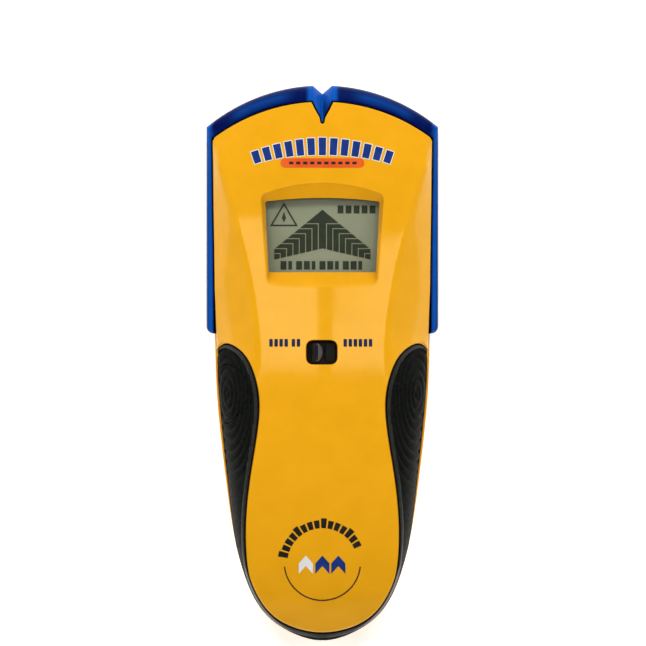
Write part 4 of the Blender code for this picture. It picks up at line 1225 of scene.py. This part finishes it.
def range_roof():
    """A centre arrow and seven nested bent bands on each side, all under one roof line."""
    def foot(x):
        return ROOF["foot_apex"] - ROOF["foot_fall"] * x

    def eaves(y):
        return min(ROOF["half"], (ROOF["apex"] - y) / ROOF["fall"])

    stem = BAND_START[0] - BAND_GAP
    shoulder = BAND_START[1] + BAND_GAP
    right = [(eaves(shoulder), shoulder), (stem, shoulder), (stem, foot(stem))]
    left = [(-x, y) for x, y in right[::-1]]
    shapes = [np.array([(0, ROOF["apex"]), *right, (0, foot(0)), *left])]
    for i in range(BAND_COUNT):
        inner = BAND_START[0] + BAND_STEP[0] * i + BAND_GAP
        outer = min(inner + BAND_STEP[0] - 2 * BAND_GAP, ROOF["half"])
        top = BAND_START[1] - BAND_STEP[1] * i - BAND_GAP
        low = top - BAND_STEP[1] + 2 * BAND_GAP
        band = [(inner, foot(inner)), (inner, top), (eaves(top), top)]
        if i < BAND_COUNT - 1:
            band += [(eaves(low), low), (outer, low)]
        band.append((outer, foot(outer)))
        shapes += [np.array(band) * (side, 1) for side in (-1, 1)]
    return shapes


def triangle_frame():
    """An upright triangle drawn as a line, as three bars."""
    corners = np.array([(-17.2, 44.9), (-8.0, 44.9), (-12.6, 52.7)])
    inner = corners + (corners.mean(0) - corners) * 0.2
    return [np.array([corners[i], corners[(i + 1) % 3], inner[(i + 1) % 3], inner[i]]) for i in range(3)]


def cell(x, y, width, height):
    return np.array([(x, y), (x + width, y), (x + width, y + height), (x, y + height)])


# ---------------------------------------------------------------- printed marks on the face

PRINT_LIFT = 0.02
PRINT_OVER = PRINT_LIFT + 0.03    # for a mark on another mark
PRINT_THICKNESS = 0.05
PRINT_GRID = 0.8
TAIL_CENTRE = (0, -65.0)


def printed(name, shapes, finish, lift=PRINT_LIFT):
    """Thin ink on the curved face, following it."""
    def height(x, y):
        return front(x, y) + lift + PRINT_THICKNESS

    points, normals, faces = np.empty((0, 3)), np.empty((0, 3)), []
    for shape in shapes:
        shape = divide(anticlockwise(shape), PRINT_GRID)
        plan = np.vstack((shape, grid_inside([shape], PRINT_GRID, 0.25)))
        chain = [(i, (i + 1) % len(shape)) for i in range(len(shape))]
        made, _, triangles = triangulated(plan, chain, [shape])
        faces += [[len(points) + i for i in face] for face in triangles]
        x, y = made.T
        points = np.vstack((points, np.column_stack((x, y, height(x, y)))))
        normals = np.vstack((normals, normal_of(height, x, y)))
    wall = thickened(points, normals, faces, PRINT_THICKNESS + 0.04)
    settle(tidy_piece(name, *wall, FINISH[finish]), "casing")


def along_arc(centre, radius, turn, half_width, low, high, steps=5):
    """A block of an arched row: it spans 2 x half_width at a turn (degrees from +Y), between two radii."""
    spread = math.degrees(half_width / radius)
    turns = np.radians(turn + np.linspace(-spread, spread, steps))
    outer = [(centre[0] + high * math.sin(t), centre[1] + high * math.cos(t)) for t in turns]
    inner = [(centre[0] + low * math.sin(t), centre[1] + low * math.cos(t)) for t in turns[::-1]]
    return np.array(outer + inner)


def bars(x, count, y, width, height, pitch, radius, per_corner):
    """A row of upright or lying bars, from a left end on."""
    return [rectangle(x + pitch * i, x + width + pitch * i, y, y + height, radius, per_corner)
            for i in range(count)]


def head_mark():
    """A generic signal pattern: blocks in an arch, taller towards the middle, over a dashed pill."""
    radius = 70.0
    blocks = []
    for i in range(-6, 7):
        tall = 2.9 - 0.10 * abs(i) ** 1.2
        blocks.append(along_arc((0, 1.0), radius, 3.0 * i, 1.18, radius - tall, radius + tall))
    outlines = [moved_out(anticlockwise(block), 0.26) for block in blocks]
    printed("head_mark_outline", outlines, "print_white")
    printed("head_mark", blocks, "print_navy", PRINT_OVER)
    printed("pill_mark", [rectangle(-13.7, 13.7, 64.0, 67.1, 1.5)], "print_orange")
    printed("pill_dashes", bars(-10.9, 10, 65.1, 1.4, 0.9, 2.3, 0.2, 3), "print_black", PRINT_OVER)


def mode_marks():
    """Two short groups of bars for the shallow setting, and one longer row for the deep setting."""
    rows = [bars(x, count, 5.5, 1.1, 2.5, 1.65, 0.15, 2) for x, count in ((-17.3, 4), (-10.0, 2), (6.9, 6))]
    printed("mode_marks", sum(rows, []), "print_ink")


def tail_mark():
    """An open ring of an arc and dashes round three chevrons."""
    dashes = [along_arc(TAIL_CENTRE, 13, turn, 0.85, 11.4, 14.0 if i % 4 else 14.6, 3)
              for i, turn in enumerate(np.linspace(-78, 62, 15))]
    printed("tail_arc", [along_arc(TAIL_CENTRE, 12.4, 180, 18.2, 12.2, 12.6, 60)], "print_black")
    printed("tail_dashes", dashes, "print_black")
    printed("tail_chevron_white", [chevron(-5.4, -65.6)], "print_white")
    printed("tail_chevrons_blue", [chevron(0.0, -65.6), chevron(5.2, -65.6)], "print_navy")


def chevron(x, y, half_width=2.3, half_height=3.0, arm=2.6):
    left, right, low, high = x - half_width, x + half_width, y - half_height, y + half_height
    return np.array([(left, low), (x, low + arm), (right, low), (right, high - arm), (x, high),
                     (left, high - arm)])


# ---------------------------------------------------------------- camera, light and floor

CAMERA_LENS = 400
CAMERA_SENSOR = 36
VIEW_WIDTH = 211.4            # what the camera takes in at the height of the face
VIEW_CENTRE = (0.2, 13.2, 20)
# place and size in metres, and radiance: the softboxes show in reflections, and the fills don't
SOFTBOXES = {
    "softbox_left": ((-0.190, 0.313, 1.2), (0.341, 0.126), 3.2),
    "softbox_right": ((0.206, 0.287, 1.2), (0.328, 0.074), 3.2),
}
FILLS = {
    "fill_left": ((-0.62, 1.22, 1.35), (0.6, 0.6), 10.9),
    "fill_right": ((0.62, 1.22, 1.35), (0.6, 0.6), 10.9),
    "fill_side_left": ((-1.3, 0.2, 1.3), (0.6, 0.6), 6.0),
    "fill_side_right": ((1.3, 0.2, 1.3), (0.6, 0.6), 6.0),
    "fill_tail": ((0, -1.3, 1.3), (0.8, 0.6), 0.8),
    "fill_low": ((0, -1.5, 0.5), (0.8, 0.4), 4.5),
    "fill_back": ((0.5, 0.7, -1.2), (0.7, 0.7), 5.0),
}
# the walls and ceiling of the studio: place from straight down, 0, to straight up, 1, and radiance
WALL_LEVELS = [(0.0, 0.6), (0.5, 0.5), (0.72, 0.5), (0.80, 0.03)]
WALL_LEAN = 0.3
FLOOR_GLOW = 0.5
FLOOR_HALF = 3000


def camera():
    made = bpy.data.objects.new("camera", bpy.data.cameras.new("camera"))
    made.data.lens, made.data.sensor_width = CAMERA_LENS, CAMERA_SENSOR
    made.data.clip_start, made.data.clip_end = 0.05, 20
    x, y, z = VIEW_CENTRE
    made.location = Vector((x, y, z + VIEW_WIDTH * CAMERA_LENS / CAMERA_SENSOR)) * MM
    bpy.context.scene.collection.objects.link(made)
    bpy.context.scene.camera = made


def lights():
    """Softboxes that face straight down, and fills that face the tool."""
    for name, (place, size, radiance) in {**SOFTBOXES, **FILLS}.items():
        light = bpy.data.lights.new(name, "AREA")
        light.shape = "RECTANGLE"
        light.size, light.size_y = size
        light.energy = radiance * math.pi * size[0] * size[1]
        lamp = bpy.data.objects.new(name, light)
        lamp.location = place
        if name in FILLS:
            lamp.visible_glossy = False
            lamp.rotation_mode = "QUATERNION"
            lamp.rotation_quaternion = Vector(place).to_track_quat("Z", "Y")
        bpy.context.scene.collection.objects.link(lamp)


def studio():
    camera()
    lights()
    scene = bpy.context.scene
    scene.world = studio_world()
    scene.view_settings.view_transform = "Standard"
    scene.view_settings.look = "None"
    corners = [(x * FLOOR_HALF, y * FLOOR_HALF, -0.02) for x, y in ((-1, -1), (1, -1), (1, 1), (-1, 1))]
    piece_from("floor", corners, [(0, 1, 2, 3)], floor_material())


def studio_world():
    """Bright walls all round and a dim ceiling, a little brighter on the pointer's side."""
    world = bpy.data.worlds.new("studio")
    world.use_nodes = True
    nodes, links = world.node_tree.nodes, world.node_tree.links
    direction = nodes.new("ShaderNodeSeparateXYZ")
    links.new(nodes.new("ShaderNodeTexCoord").outputs["Generated"], direction.inputs["Vector"])
    up = nodes.new("ShaderNodeMapRange")
    up.inputs["From Min"].default_value = -1
    links.new(direction.outputs["Z"], up.inputs["Value"])
    ramp = nodes.new("ShaderNodeValToRGB")
    ramp.color_ramp.elements.new(0.5)
    ramp.color_ramp.elements.new(0.5)
    for element, (place, level) in zip(ramp.color_ramp.elements, WALL_LEVELS):
        element.position = place
        element.color = (level, level, level, 1)
    links.new(up.outputs["Result"], ramp.inputs["Fac"])
    ahead = nodes.new("ShaderNodeMath")
    ahead.operation = "MULTIPLY_ADD"
    ahead.inputs[1].default_value = WALL_LEAN
    ahead.inputs[2].default_value = 1.0
    links.new(direction.outputs["Y"], ahead.inputs[0])
    level = nodes.new("ShaderNodeMath")
    level.operation = "MULTIPLY"
    links.new(ramp.outputs["Color"], level.inputs[0])
    links.new(ahead.outputs["Value"], level.inputs[1])
    links.new(level.outputs["Value"], nodes["Background"].inputs["Strength"])
    nodes["Background"].inputs["Color"].default_value = (1, 1, 1, 1)
    return world


def floor_material():
    """White, and clear from below, so that the back can be seen."""
    made = Paint("floor", 0.9).colour((0.93, 0.93, 0.93), (0.96, 0.96, 0.96), 300)
    made.shader.inputs["Emission Color"].default_value = (1, 1, 1, 1)
    made.shader.inputs["Emission Strength"].default_value = FLOOR_GLOW
    clear = made.nodes.new("ShaderNodeBsdfTransparent")
    mix = made.nodes.new("ShaderNodeMixShader")
    side = made.nodes.new("ShaderNodeNewGeometry")
    made.links.new(side.outputs["Backfacing"], mix.inputs["Fac"])
    made.links.new(made.shader.outputs["BSDF"], mix.inputs[1])
    made.links.new(clear.outputs["BSDF"], mix.inputs[2])
    made.links.new(mix.outputs["Shader"], made.nodes["Material Output"].inputs["Surface"])
    return made.material


dress_frame()
front_cover()
grips()
light_bezel()
cover_sill()
rear_case()
battery_door()
battery()
for node_name in frame["nodes"]:
    if "_screw_" in node_name:
        screw(node_name)
mode_knob()
display_graphics()
head_mark()
mode_marks()
tail_mark()
studio()
